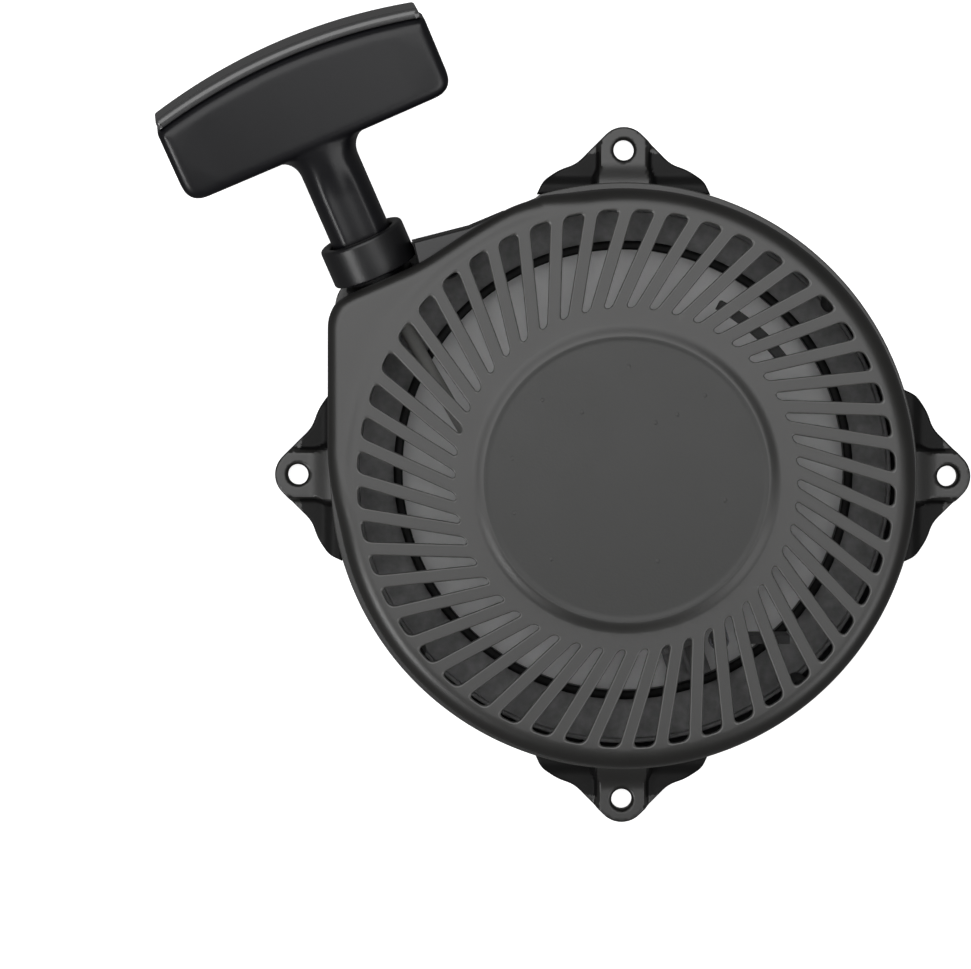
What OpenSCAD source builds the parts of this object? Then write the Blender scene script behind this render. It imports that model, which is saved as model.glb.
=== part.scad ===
/* [Mounting] */
// diameter of the circle through the four ear holes
ear_pcd = 205; // [203:0.5:208]
// clear diameter of each ear hole, for an M6 bolt
ear_hole_d = 6.5; // [6.2:0.1:7]
// thickness of the raised pad round each ear hole
ear_pad_t = 6; // [5:0.5:8]

/* [Housing] */
// radius of the bead that runs round the outer wall
bead_r = 92; // [91.5:0.1:93]
// height of the slotted face above the mounting plane
face_z = 45; // [44.5:0.1:46]
// wall thickness of the moulded housing
shell_t = 2.5; // [2.2:0.1:2.8]
// height of the round plateau above the slotted face
plateau_h = 2.2; // [1.5:0.1:3]

/* [Cooling slots] */
// number of slots in the face
slot_count = 48; // [40:4:52]
// width of each bar between two slots
bar_w = 4.05; // [3.5:0.05:4.5]
// radius of the slots' inner ends
slot_in_r = 53.6; // [53:0.1:55]
// radius of the slots' outer ends
slot_out_r = 82.8; // [80:0.1:83.5]
// how far each bar's line passes from the centre
bar_skew = 23.7; // [20:0.1:26]

/* [Air guide ring] */
// radius of the ring's opening
guide_in_r = 69.5; // [68:0.1:71]
// radius of the ring's outer edge
guide_out_r = 84.6; // [84:0.1:85]

/* [Pulley] */
// radius of the two rope flanges
flange_r = 42.5; // [41:0.1:42.8]
// thickness of each rope flange
flange_t = 2.2; // [1.8:0.1:2.4]
// radius of the post that the pulley turns on
post_r = 7; // [6.5:0.1:7.5]
// running clearance on that radius
running_gap = 0.06; // [0.03:0.01:0.09]

/* [Rope] */
// rope diameter
rope_d = 4.5; // [4:0.1:4.6]
// layers of rope wound on the pulley at rest
rope_layers = 3; // [2:1:3]

/* [Recoil spring] */
// turns of spring strip that are wound in the well
spring_turns = 8; // [5:1:9]
// width of the strip
spring_w = 10; // [8:0.5:10.5]
// thickness of the strip
spring_t = 0.5; // [0.3:0.1:0.7]

/* [Starter handle] */
// length of the cross bar
grip_len = 89.5; // [80:0.5:93]
// thickness of the cross bar, front to back
grip_t = 23; // [20:1:25]
// diameter of the stem
stem_d = 19; // [17:0.5:19.5]
// direction of the rope outlet in the plane of the face
outlet_dir = 113.5; // [112:0.5:115]
// how far the outlet leans towards the front
outlet_tilt = 12; // [10:0.5:14]

/* [Hidden] */

// a hair of overlap, so that cuts break cleanly through a face
cut = 0.5;
// how deep a moulded feature is rooted in the wall that carries it
root = 0.4;

// colours
housing_grey = [0.24, 0.235, 0.225];
handle_black = [0.13, 0.13, 0.15];
ring_grey = [0.2, 0.2, 0.2];
pulley_grey = [0.25, 0.25, 0.25];
plate_blue = [0.3, 0.32, 0.37];
steel = [0.6, 0.61, 0.63];
zinc = [0.85, 0.86, 0.88];
rope_grey = [0.45, 0.45, 0.44];

// outer wall, from the mounting plane up to the face
wall_r = bead_r - 0.9;
shoulder_r = 6;
wall_top_r = bead_r - 2.6;
bead_z = 14;
bead_h = 2.4;
face_under = face_z - shell_t;
inner_r = wall_r - shell_t;
inner_top_r = wall_top_r - shell_t;

// rope corner: the outline beyond the round wall, clockwise from the left wall
corner = [[-bead_r + 0.4, -4], [-bead_r + 0.4, 49], [-89.6, 54], [-86.2, 56.4],
          [-63.8, 66.2], [-47, 77.4], [-37, 83.2], [-20, 70], [-40, 10]];
corner_in = [[-bead_r + 2.9, -4], [-bead_r + 2.9, 48.4], [-87.6, 52], [-85, 53.9],
             [-62.7, 63.6], [-45.8, 74.8], [-36, 80.4], [-20, 60], [-40, 10]];
corner_top = [[-bead_r + 3, -4], [-bead_r + 3, 48], [-87.4, 51.4], [-85, 53.2],
              [-62.6, 62.8], [-45.8, 74.2], [-35, 80.6], [-20, 70], [-40, 10]];
corner_ledge = [[-bead_r + 0.4, 48], [-90.6, 57], [-83, 66.5], [-66, 74], [-47.7, 78.2],
                [-37, 83.8], [-40, 60]];
ledge_t = 2.5;
// the outline's wall ends this far below the face, where its rounded edge begins
corner_edge = 3;

// mounting ears: one quarter of the flange's outline, then the raised pad and its ramp
ear_flange = [[84, 27], [92.6, 25.6], [96.4, 20.6], [98.2, 14.8], [103, 10.2], [107, 6.1]];
ear_flange_t = 2.5;
ear_pad_r = 8;
ear_pad_w = 15.2;
ear_pad_at_r = ear_pcd / 2 - 0.7;
ear_ramp_r = 98.5;

// air guide ring
guide_z = 3.2;
guide_t = 2.2;
guide_shift = 1.7;
keeper_turn = -71;
keeper_w = 13;
keeper_in_r = 55;
keeper_top_z = 18;
keeper_wall_t = 2;
guide_lip_t = 1.8;
guide_lip_h = 6.8;
guide_skirt_t = 1.4;
guide_skirt_h = 5;
guide_step = 0.8;

// the ring's pegs and the bosses that take them
peg_turns = [40, 130, 220, 310];
peg_at_r = 85.2;
peg_r = 1.8;
peg_boss_r = 3.4;
peg_boss_z = 9.4;
peg_len = 10;
peg_foot_z = 6.8;

// plateau in the middle of the face
plateau_out_r = 47.9;
plateau_in_r = 43.8;

// pulley well: twelve-sided wall behind the face
well_r = 43.4;
well_flat = 45.2;
well_floor_z = 12.5;
well_turn = 14.1;
rib_t = 1.8;
rib_floor_z = 26;
rib_count = 12;
rib_out_r = 84;
rope_window_turn = 170;
rope_window_w = 22;
spring_window_turn = 8;
spring_window_w = 11;
window_depth = 14;

// stiffening arc between two ribs
tie_in_r = 59.3;
tie_out_r = 62.3;
tie_from = 37;
tie_to = 62;
tie_floor_z = rib_floor_z + 2;

// walls that stand beside the spring's anchor post and beside the rope
anchor_floor_z = 22;
anchor_wall = [36, -50.8];
anchor_wall_size = [14.6, 2.6];
rope_wall = [-76.4, 37];
rope_wall_size = [1.8, 12];
rope_wall_floor_z = 10;

// slot pattern: bar number zero is turned by this much
pitch = 360 / slot_count;
bar_turn = 2.2 - asin(bar_skew / slot_in_r);
rib_turn = bar_turn + pitch;

// heights of the pulley and what is on its post
cup_r = 32;
cup_in_r = 30.6;
cup_rear_z = 5.2;
cup_floor_z = 13;
groove_z = cup_floor_z + flange_t;
groove_w = 2 * rope_d + 2;
front_flange_z = groove_z + groove_w;
pulley_front_z = front_flange_z + flange_t;
hub_r = 24.5;
hub_rear_z = 9.9;
window_from = 19;
window_to = 59;
hub_nose_r = 12;
arbor_r = 10.6;
arbor_top_z = 41;
notch_w = 2.6;
post_end_z = 9.6;
post_top_z = face_z + plateau_h - shell_t;
pulley_bore_r = post_r + running_gap;

// screw, washer and sleeve on the post's end
screw_r = 2.4;
pilot_r = 2.45;
pilot_depth = 18;
screw_tip_z = 26;
recess_l = 6.4;
recess_w = 1.2;
recess_depth = 2;
washer_r = 9.5;
washer_t = 0.8;
sleeve_r = 5.5;
sleeve_z = 4.8;
sleeve_top_z = post_end_z - washer_t;
head_r = 7.8;
head_z = 1.6;

// friction plate
plate_r = 29.2;
plate_z = 5.4;
plate_t = 2.8;
lug_r = 1.6;
lug_at_r = 20.6;
lug_turn = 30;
lug_top_z = 12.2;
slit_w = 1.2;
long_slit_turn = 193;
short_slit_turn = 17;
short_slit_r = 16;
slit_end_r = 1.75;
plate_groove_r = 13.2;
plate_groove_w = 1;
plate_groove_turns = [75, 250];
plate_groove_angle = 80;
plate_notch_turns = [97, 277];
plate_notch_w = 6.8;
plate_notch_depth = 1.6;

// pawls: pivot place and blade
pawl_pivot_r = 20.5;
pawl_pivot_turn = 80;
pawl_rest = -14;
pawl_z = 8.8;
pawl_t = 2.8;
pawl_eye_r = 4.2;
pin_r = 2.4;
pawl_bore_r = pin_r + 0.06;
pin_end_z = 8.5;
hairpin_z = 11.9;
hairpin_r = 3.3;
hairpin_t = 0.6;
hairpin_h = 1;
hairpin_leg = 4.9;
hairpin_turn = -112;
blade = [[0, 4.2], [19, 3.4], [24.9, 2.2], [24.9, -1.2], [20, -2.6], [0, -4.2]];

// rope on the pulley
rope_r = rope_d / 2;
coil_r = hub_r + rope_layers * rope_d;
coil_line_r = coil_r - rope_r;
coil_gap = 0.4;
// pocket in the hub that holds the rope's knot
pocket_turn = 60;
pocket_at_r = 17.6;
pocket_r = 4;

// recoil spring in the well
spring_z = 30.6;
spring_in_r = 12.2;
spring_out_r = 40.6;
spring_steps = 24;
anchor_x = 29;
anchor_y = -50;
anchor_r = 2.4;
spring_exit = -68;
hook_in_r = 9.4;
// two points that the strip passes on its way out of the well
spring_way = [[21.4, -39.6], [30.2, -44.4]];
cover_z = pulley_front_z + 0.6;
cover_t = 0.8;
spring_pitch = (spring_out_r - spring_in_r) / spring_turns;

// rope outlet: the centre of the rope guide's mouth, and its axis
mouth = [-82.4, 75.2, 27.2];
out_x = cos(outlet_tilt) * cos(outlet_dir);
out_y = cos(outlet_tilt) * sin(outlet_dir);
out_z = sin(outlet_tilt);
guide_r = 13.6;
guide_len = 12.3;
guide_cup_r = 10.4;
guide_cup_depth = 8;
guide_hole_r = 3.2;
neck_r = 8.4;
neck_end = -23.5;
snap_r = 9.3;
boss_r = 12.2;
boss_top = -13.3;
boss_end = -22;
rope_start = -21;

// handle, measured along the outlet axis from the guide's mouth
stem_start = -7;
bar_low = 31;
bar_end_h = 27.9;
bar_arch = 5.5;
cap_h = 3.4;
cap_gap = 0.1;
cap_step = 0.5;
stem_fillet = 6.5;
flute_r = 5;
flute_depth = 1.4;
flute_top = 20;
bar_corner = 6;
washer_s = 40;
knot_washer_t = 1.2;
knot_r = 4.6;
chamber_r = 6.5;

// a point on the outlet axis, at distance s from the guide's mouth
function on_axis(s) = [mouth[0] + s * out_x, mouth[1] + s * out_y, mouth[2] + s * out_z];

// a point of a straight line that passes the centre at distance d, where it has radius r
function skew_point(r, d) = [sqrt(r * r - d * d), d];
function turned(p, a) = [p[0] * cos(a) - p[1] * sin(a), p[0] * sin(a) + p[1] * cos(a)];
function polar(r, a) = [r * cos(a), r * sin(a)];
function mix(p, q, t) = p + (q - p) * t;
// points on an arc, from angle a to angle b
function arc(c, r, a, b, n) = [for (i = [0 : n]) c + polar(r, a + (b - a) * i / n)];
function reversed(v) = [for (i = [len(v) - 1 : -1 : 0]) v[i]];
// points on a curve from p to s that leans towards q
function quad(p, q, s, n) = [for (i = [0 : n]) mix(mix(p, q, i / n), mix(q, s, i / n), i / n)];

// outline of one slot, between the bar at angle zero and the next bar
slot_a = skew_point(slot_in_r, bar_skew + bar_w / 2);
slot_b = turned(skew_point(slot_in_r, bar_skew - bar_w / 2), pitch);
slot_c = turned(skew_point(slot_out_r, bar_skew - bar_w / 2), pitch);
slot_d = skew_point(slot_out_r, bar_skew + bar_w / 2);
slot_soft = 0.28;
slot_nose = mix(slot_a, slot_b, 0.5) - 0.9 * (mix(slot_d, slot_c, 0.5)
            - mix(slot_a, slot_b, 0.5)) / norm(mix(slot_d, slot_c, 0.5) - mix(slot_a, slot_b, 0.5));
slot_outline = concat(
    quad(mix(slot_b, slot_c, 0.03), slot_nose + (slot_b - slot_a) * 0.5, slot_nose, 3),
    quad(slot_nose, slot_nose - (slot_b - slot_a) * 0.5, mix(slot_a, slot_d, 0.03), 3),
    quad(mix(slot_d, slot_a, 0.05), slot_d, mix(slot_d, slot_c, slot_soft), 3),
    quad(mix(slot_c, slot_d, slot_soft), slot_c, mix(slot_c, slot_b, 0.05), 3));

// one cooling slot, cut right through the face
module slot() {
    translate([0, 0, face_under - cut])
        linear_extrude(shell_t + 2 * cut)
            polygon(slot_outline);
}

// places its child on the outlet axis, pointing out along the rope
module on_outlet(s = 0) {
    translate(on_axis(s))
        rotate([0, 90 - outlet_tilt, outlet_dir])
            children();
}

// solid of the round part of the housing, with its rounded shoulder
module round_block() {
    rotate_extrude($fn = 96)
        polygon(concat([[0, 0], [wall_r, 0], [wall_r, bead_z], [bead_r, bead_z + 0.5],
                        [bead_r, bead_z + bead_h - 0.5], [wall_top_r + 0.7, bead_z + bead_h]],
                       arc([wall_top_r - shoulder_r, face_z - shoulder_r], shoulder_r, 0, 90, 6),
                       [[plateau_out_r, face_z], [plateau_in_r + 1, face_z + plateau_h - 0.5],
                        [plateau_in_r, face_z + plateau_h], [0, face_z + plateau_h]]));
}

// the space inside the round part
module round_hollow() {
    rotate_extrude($fn = 96)
        polygon(concat([[0, -cut], [inner_r, -cut], [inner_r, bead_z],
                        [inner_top_r + 0.5, bead_z + bead_h]],
                       arc([inner_top_r - shoulder_r + 2, face_under - shoulder_r + 2],
                           shoulder_r - 2, 0, 90, 5),
                       [[well_flat + 1, face_under], [well_r - 0.8, face_under],
                        [well_r - 2, post_top_z], [0, post_top_z]]));
}

// one ear: a wide thin flange, a raised pad with its bore, and a ramp up to the wall
module ear_body() {
    linear_extrude(ear_flange_t)
        polygon(concat(ear_flange, [for (p = reversed(ear_flange)) [p[0], -p[1]]]));
    translate([ear_pad_at_r, 0, 0])
        cylinder(h = ear_pad_t, r = ear_pad_r, $fn = 48);
    translate([wall_r - shell_t, -ear_pad_w / 2, 0])
        cube([ear_pad_at_r - wall_r + shell_t, ear_pad_w, ear_pad_t]);
    translate([0, ear_pad_w / 2, 0])
        rotate([90, 0, 0])
            linear_extrude(ear_pad_w)
                polygon([[wall_r - 1, ear_pad_t - 1], [ear_ramp_r, ear_pad_t - 1],
                         [ear_ramp_r, ear_pad_t], [wall_r + 0.6, bead_z - 0.5],
                         [wall_r - 1, bead_z - 0.5]]);
}

// twelve-sided wall round the pulley, with the ways out for the rope and the spring
module well_wall() {
    difference() {
        translate([0, 0, well_floor_z])
            rotate([0, 0, well_turn])
                cylinder(h = face_under + root - well_floor_z, r = well_flat / cos(15), $fn = 12);
        translate([0, 0, well_floor_z - cut])
            cylinder(h = face_z, r = well_r, $fn = 96);
        rotate([0, 0, rope_window_turn])
            translate([well_r - window_depth / 2, -rope_window_w / 2, groove_z - 0.4])
                cube([window_depth, rope_window_w, groove_w + 0.8]);
        rotate([0, 0, spring_exit + spring_window_turn])
            translate([well_r - window_depth / 2, -spring_window_w / 2, spring_z - 1])
                cube([window_depth, spring_window_w, spring_w + 2]);
    }
}

// one of the ribs that stiffen the bars, under the bar at angle zero
module rib() {
    rib_in = skew_point(well_flat, bar_skew)[0] + root;
    rib_out = skew_point(rib_out_r, bar_skew)[0];
    translate([rib_in, bar_skew - rib_t / 2, rib_floor_z])
        cube([rib_out - rib_in, rib_t, face_under + root - rib_floor_z]);
}

// everything moulded behind the face, outside the pulley well
module inner_features() {
    for (i = [0 : rib_count - 1])
        rotate([0, 0, rib_turn + i * 360 / rib_count])
            rib();
    // arc that ties two ribs
    translate([0, 0, tie_floor_z])
        linear_extrude(face_under + root - tie_floor_z)
            polygon(concat(arc([0, 0], tie_out_r, tie_from, tie_to, 8),
                           arc([0, 0], tie_in_r, tie_to + 1, tie_from + 1.5, 8)));
    // bosses that take the air guide ring's pegs
    for (a = peg_turns)
        rotate([0, 0, a])
            translate([peg_at_r, 0, peg_boss_z])
                cylinder(h = face_under + root - peg_boss_z, r = peg_boss_r, $fn = 32);
    // anchor post for the spring's outer hook, and the wall beside it
    translate([anchor_x, anchor_y, anchor_floor_z])
        cylinder(h = face_under + root - anchor_floor_z, r = anchor_r, $fn = 32);
    translate(concat(anchor_wall, [anchor_floor_z]))
        cube(concat(anchor_wall_size, [face_under + root - anchor_floor_z]));
    // wall beside the rope, in the rope corner
    translate(concat(rope_wall, [rope_wall_floor_z]))
        cube(concat(rope_wall_size, [face_under + root - rope_wall_floor_z]));
}

// moulded housing: face, wall, ears, rope corner, pulley well and centre post
module housing() {
    color(housing_grey)
    difference() {
        union() {
            difference() {
                union() {
                    round_block();
                    linear_extrude(face_z - corner_edge)
                        polygon(corner);
                    linear_extrude(face_z)
                        polygon(corner_top);
                    linear_extrude(ledge_t)
                        polygon(corner_ledge);
                    on_outlet(boss_end)
                        cylinder(h = boss_top - boss_end, r = boss_r, $fn = 48);
                    for (a = [0 : 90 : 270])
                        rotate([0, 0, a])
                            ear_body();
                }
                round_hollow();
                translate([0, 0, -cut])
                    linear_extrude(face_under + cut)
                        polygon(corner_in);
                for (i = [0 : slot_count - 1])
                    rotate([0, 0, bar_turn + i * pitch])
                        slot();
            }
            well_wall();
            inner_features();
            translate([0, 0, post_end_z])
                cylinder(h = post_top_z + root - post_end_z, r = post_r, $fn = 48);
        }
        for (a = [0 : 90 : 270])
            rotate([0, 0, a])
                translate([ear_pcd / 2, 0, -cut])
                    cylinder(h = bead_z, r = ear_hole_d / 2, $fn = 48);
        translate([0, 0, post_end_z - cut])
            cylinder(h = pilot_depth + cut, r = pilot_r, $fn = 32);
        on_outlet(boss_end - boss_r)
            cylinder(h = 2 * boss_r, r = neck_r + 0.1, $fn = 48);
        for (a = peg_turns)
            rotate([0, 0, a])
                translate([peg_at_r, 0, peg_boss_z - cut])
                    cylinder(h = peg_len + cut, r = peg_r + 0.1, $fn = 32);
    }
}

// air guide ring: flat ring with an off-centre opening, a lip, a skirt and four pegs
module air_guide_ring() {
    color(ring_grey)
    difference() {
        union() {
            translate([0, 0, guide_z])
                cylinder(h = guide_t, r = guide_out_r, $fn = 96);
            translate([0, guide_shift, guide_z + guide_step])
                cylinder(h = guide_lip_h, r = guide_in_r + guide_lip_t, $fn = 96);
            difference() {
                translate([0, 0, guide_z + guide_step])
                    cylinder(h = guide_skirt_h, r = guide_out_r - 0.2, $fn = 96);
                translate([0, 0, guide_z + guide_step - cut])
                    cylinder(h = guide_skirt_h + 2 * cut, r = guide_out_r - 0.2 - guide_skirt_t,
                             $fn = 96);
            }
            for (a = peg_turns)
                rotate([0, 0, a])
                    translate([peg_at_r, 0, peg_foot_z]) {
                        cylinder(h = peg_boss_z - 0.3 - peg_foot_z, r = peg_boss_r - 0.2, $fn = 32);
                        cylinder(h = peg_boss_z + peg_len - 1.6 - peg_foot_z, r = peg_r, $fn = 32);
                    }
        }
        translate([0, guide_shift, guide_z - cut])
            cylinder(h = guide_lip_h + 2 * (guide_step + cut), r = guide_in_r, $fn = 96);
    }
    // tab that reaches in and keeps the spring's hook on its post
    color(ring_grey)
    rotate([0, 0, keeper_turn]) {
        translate([keeper_in_r, -keeper_w / 2, guide_z + guide_step / 2])
            cube([guide_in_r - keeper_in_r + 1, keeper_w, guide_t]);
        translate([keeper_in_r, (1 - keeper_w) / 2, guide_z + guide_step])
            cube([keeper_wall_t, keeper_w - 1, keeper_top_z - guide_z - guide_step]);
    }
}

// rope guide: a cup that the handle's stem seats in, with a neck through the housing wall
module rope_guide() {
    color(handle_black)
    on_outlet()
        rotate_extrude($fn = 64)
            polygon([[guide_hole_r, -guide_cup_depth - 2.5],
                     [guide_hole_r + 1.4, -guide_cup_depth - 0.4],
                     [guide_cup_r, -guide_cup_depth], [guide_cup_r, -0.8],
                     [guide_cup_r + 0.8, 0], [guide_r - 0.8, 0], [guide_r, -0.8],
                     [guide_r, -guide_len + 0.5], [guide_r - 0.5, -guide_len], [neck_r, -guide_len],
                     [neck_r, boss_end - 0.3], [snap_r, boss_end - 0.6], [neck_r - 0.4, neck_end],
                     [guide_hole_r + 1.6, neck_end], [guide_hole_r, neck_end + 2]]);
}

// thin plate between the recoil spring and the pulley
module spring_cover() {
    color(steel)
    difference() {
        translate([0, 0, cover_z])
            cylinder(h = cover_t, r = well_r - 0.2, $fn = 96);
        translate([0, 0, cover_z - cut])
            cylinder(h = cover_t + 2 * cut, r = arbor_r + 1, $fn = 64);
    }
}

// radius of the spring's middle line at a turn count t, from the inner end
function spring_r(t) = spring_in_r + spring_pitch * t;
function spring_a(t) = spring_exit - 360 * (spring_turns - t);
spring_n = spring_turns * spring_steps;
// the strip's middle line: inner hook, spiral, lead out of the well, hook round the anchor post
hook_in = [polar(hook_in_r, spring_a(0) - 14), polar(spring_in_r - 1, spring_a(0) - 13)];
spiral = [for (i = [0 : spring_n]) polar(spring_r(i / spring_steps), spring_a(i / spring_steps))];
hook_r = anchor_r + spring_t / 2 + 0.15;
hook_out = arc([anchor_x, anchor_y], hook_r, 20, -190, 8);
strip = concat(hook_in, spiral, spring_way, hook_out);
function strip_dir(i) =
    let(p = strip[max(i - 1, 0)], q = strip[min(i + 1, len(strip) - 1)]) (q - p) / norm(q - p);
function strip_side(i, h) = strip[i] + h * [-strip_dir(i)[1], strip_dir(i)[0]];

// recoil spring: spiral strip hooked to the pulley's arbor inside and to the anchor post outside
module recoil_spring() {
    color(steel)
    translate([0, 0, spring_z])
        linear_extrude(spring_w)
            polygon(concat([for (i = [0 : len(strip) - 1]) strip_side(i, spring_t / 2)],
                           [for (i = [len(strip) - 1 : -1 : 0]) strip_side(i, -spring_t / 2)]));
}

// steel sleeve that the friction plate grips
module centre_sleeve() {
    color(zinc)
    difference() {
        translate([0, 0, sleeve_z])
            cylinder(h = sleeve_top_z - sleeve_z, r = sleeve_r, $fn = 48);
        translate([0, 0, sleeve_z - cut])
            cylinder(h = sleeve_top_z - sleeve_z + 2 * cut, r = screw_r + 0.2, $fn = 32);
    }
}

// washer that keeps the pulley on its post
module thrust_washer() {
    color(zinc)
    difference() {
        translate([0, 0, sleeve_top_z])
            cylinder(h = washer_t, r = washer_r, $fn = 48);
        translate([0, 0, sleeve_top_z - cut])
            cylinder(h = washer_t + 2 * cut, r = screw_r + 0.2, $fn = 32);
    }
}

// centre screw with a wide domed head and a cross recess
module centre_screw() {
    color(zinc)
    difference() {
        rotate_extrude($fn = 64)
            polygon([[0, head_z], [3, head_z + 0.1], [5.6, head_z + 0.7], [7.2, head_z + 1.6],
                     [head_r, sleeve_z - 0.9], [head_r, sleeve_z], [screw_r, sleeve_z],
                     [screw_r, screw_tip_z - 2], [0.8, screw_tip_z], [0, screw_tip_z]]);
        for (a = [20, 110])
            rotate([0, 0, a])
                translate([-recess_l / 2, -recess_w / 2, head_z - cut])
                    cube([recess_l, recess_w, recess_depth + cut]);
    }
}

// rings of a round tube along a path of points
function path_dir(p, i) =
    let(a = p[max(i - 1, 0)], b = p[min(i + 1, len(p) - 1)]) (b - a) / norm(b - a);
function ring_points(p, i, r, n) =
    let(d = path_dir(p, i), u = cross(d, [0, 0, 1]) / norm(cross(d, [0, 0, 1])), v = cross(u, d))
    [for (k = [0 : n - 1]) p[i] + r * (cos(360 * k / n) * u + sin(360 * k / n) * v)];

// a closed round tube swept along a path
module tube(path, r, n) {
    rows = len(path);
    points = [for (i = [0 : rows - 1]) each ring_points(path, i, r, n)];
    sides = [for (i = [0 : rows - 2], k = [0 : n - 1])
             each [[i * n + k, i * n + (k + 1) % n, (i + 1) * n + k],
                   [i * n + (k + 1) % n, (i + 1) * n + (k + 1) % n, (i + 1) * n + k]]];
    first = [for (k = [n - 1 : -1 : 0]) k];
    last = [for (k = [0 : n - 1]) (rows - 1) * n + k];
    polyhedron(points, concat(sides, [first, last]));
}

// the rope's straight way from the pulley to the guide, tangent to the outer layer
rope_exit = on_axis(rope_start);
rope_turn = atan2(rope_exit[1], rope_exit[0])
            + acos(coil_line_r / norm([rope_exit[0], rope_exit[1]]));
rope_leave = concat(polar(coil_line_r, rope_turn), [groove_z + groove_w - rope_r - 0.9]);
rope_clear = sqrt(pow(coil_r + rope_r + 0.5, 2) - pow(coil_line_r, 2));
rope_span = norm(rope_exit - rope_leave);
rope_shown = rope_span - rope_clear - 0.6;
run_points = [for (i = [0 : 9])
              mix(rope_leave, rope_exit, (rope_clear + rope_shown * i / 9) / rope_span)];

// the stretch of rope between the pulley and the rope guide
module rope_run() {
    color(rope_grey)
        tube(run_points, rope_r, 12);
}

// rope wound on the pulley at rest
module rope_coil() {
    color(rope_grey)
    rotate_extrude($fn = 96)
        polygon([[hub_r + 0.05, groove_z + coil_gap], [coil_r - 1, groove_z + coil_gap],
                 [coil_r, groove_z + coil_gap + 1], [coil_r, front_flange_z - coil_gap - 1],
                 [coil_r - 1, front_flange_z - coil_gap], [hub_r + 0.05, front_flange_z - coil_gap]]);
}

// knot that holds the rope in the pulley
module pulley_knot() {
    color(rope_grey)
    rotate([0, 0, pocket_turn])
        translate([pocket_at_r, 0, groove_z + groove_w / 2])
            sphere(r = pocket_r - 0.4, $fn = 32);
}

// outline of the window that a pawl swings out through
function window_outline() =
    concat([[0, 0]], arc([0, 0], cup_r + 6, window_from, window_to, 6));

// pulley: rope flanges, cup for the pawls, spring arbor and pawl pins
module pulley() {
    color(pulley_grey)
    difference() {
        union() {
            rotate_extrude($fn = 96)
                polygon([[pulley_bore_r, hub_rear_z], [hub_nose_r, hub_rear_z],
                         [hub_nose_r, cup_floor_z], [cup_in_r, cup_floor_z],
                         [cup_in_r, cup_rear_z], [cup_r, cup_rear_z], [cup_r, cup_floor_z],
                         [flange_r, cup_floor_z], [flange_r, groove_z], [hub_r, groove_z],
                         [hub_r, front_flange_z], [flange_r, front_flange_z],
                         [flange_r, pulley_front_z], [arbor_r, pulley_front_z],
                         [arbor_r, arbor_top_z], [pulley_bore_r, arbor_top_z]]);
            for (a = [0, 180])
                rotate([0, 0, pawl_pivot_turn + a])
                    translate([pawl_pivot_r, 0, pin_end_z])
                        cylinder(h = cup_floor_z + root - pin_end_z, r = pin_r, $fn = 32);
        }
        for (a = [0, 180])
            rotate([0, 0, a])
                translate([0, 0, cup_rear_z - cut])
                    difference() {
                        linear_extrude(cup_floor_z - cup_rear_z + cut)
                            polygon(window_outline());
                        cylinder(h = cup_floor_z, r = cup_in_r - 1, $fn = 64);
                    }
        // pocket and way in for the rope's knot
        rotate([0, 0, pocket_turn]) {
            translate([pocket_at_r, 0, groove_z])
                cylinder(h = face_z, r = pocket_r, $fn = 32);
            translate([pocket_at_r, 0, groove_z + groove_w / 2])
                rotate([0, 90, 0])
                    cylinder(h = hub_r - pocket_at_r + 2, r = rope_r + 0.2, $fn = 32);
        }
        // notch in the arbor for the spring's inner hook
        rotate([0, 0, spring_a(0) - 14])
            translate([hook_in_r - 1, -notch_w / 2, pulley_front_z + 1])
                cube([4, notch_w, arbor_top_z]);
    }
}

// outline of one pawl's blade, turned to its rest angle
module pawl(a) {
    color(steel)
    rotate([0, 0, a])
        translate(concat(polar(pawl_pivot_r, pawl_pivot_turn), [pawl_z]))
            rotate([0, 0, pawl_rest])
                difference() {
                    union() {
                        cylinder(h = pawl_t, r = pawl_eye_r, $fn = 32);
                        linear_extrude(pawl_t)
                            polygon(blade);
                    }
                    translate([0, 0, -cut])
                        cylinder(h = pawl_t + 2 * cut, r = pawl_bore_r, $fn = 32);
                }
}

// pawl nearer the ear at angle zero
module pawl_a() {
    pawl(0);
}

// the opposite pawl
module pawl_b() {
    pawl(180);
}

// two hairpin springs that fold the pawls in, each round its pawl's pin
module pawl_springs() {
    color(zinc)
    for (a = [0, 180])
        rotate([0, 0, a])
            translate(concat(polar(pawl_pivot_r, pawl_pivot_turn), [hairpin_z])) {
                rotate_extrude($fn = 32)
                    translate([hairpin_r, hairpin_h / 2])
                        square([hairpin_t, hairpin_h], center = true);
                rotate([0, 0, hairpin_turn])
                    translate([hairpin_r, -hairpin_t / 2, 0])
                        cube([hairpin_leg, hairpin_t, hairpin_h]);
            }
}

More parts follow.
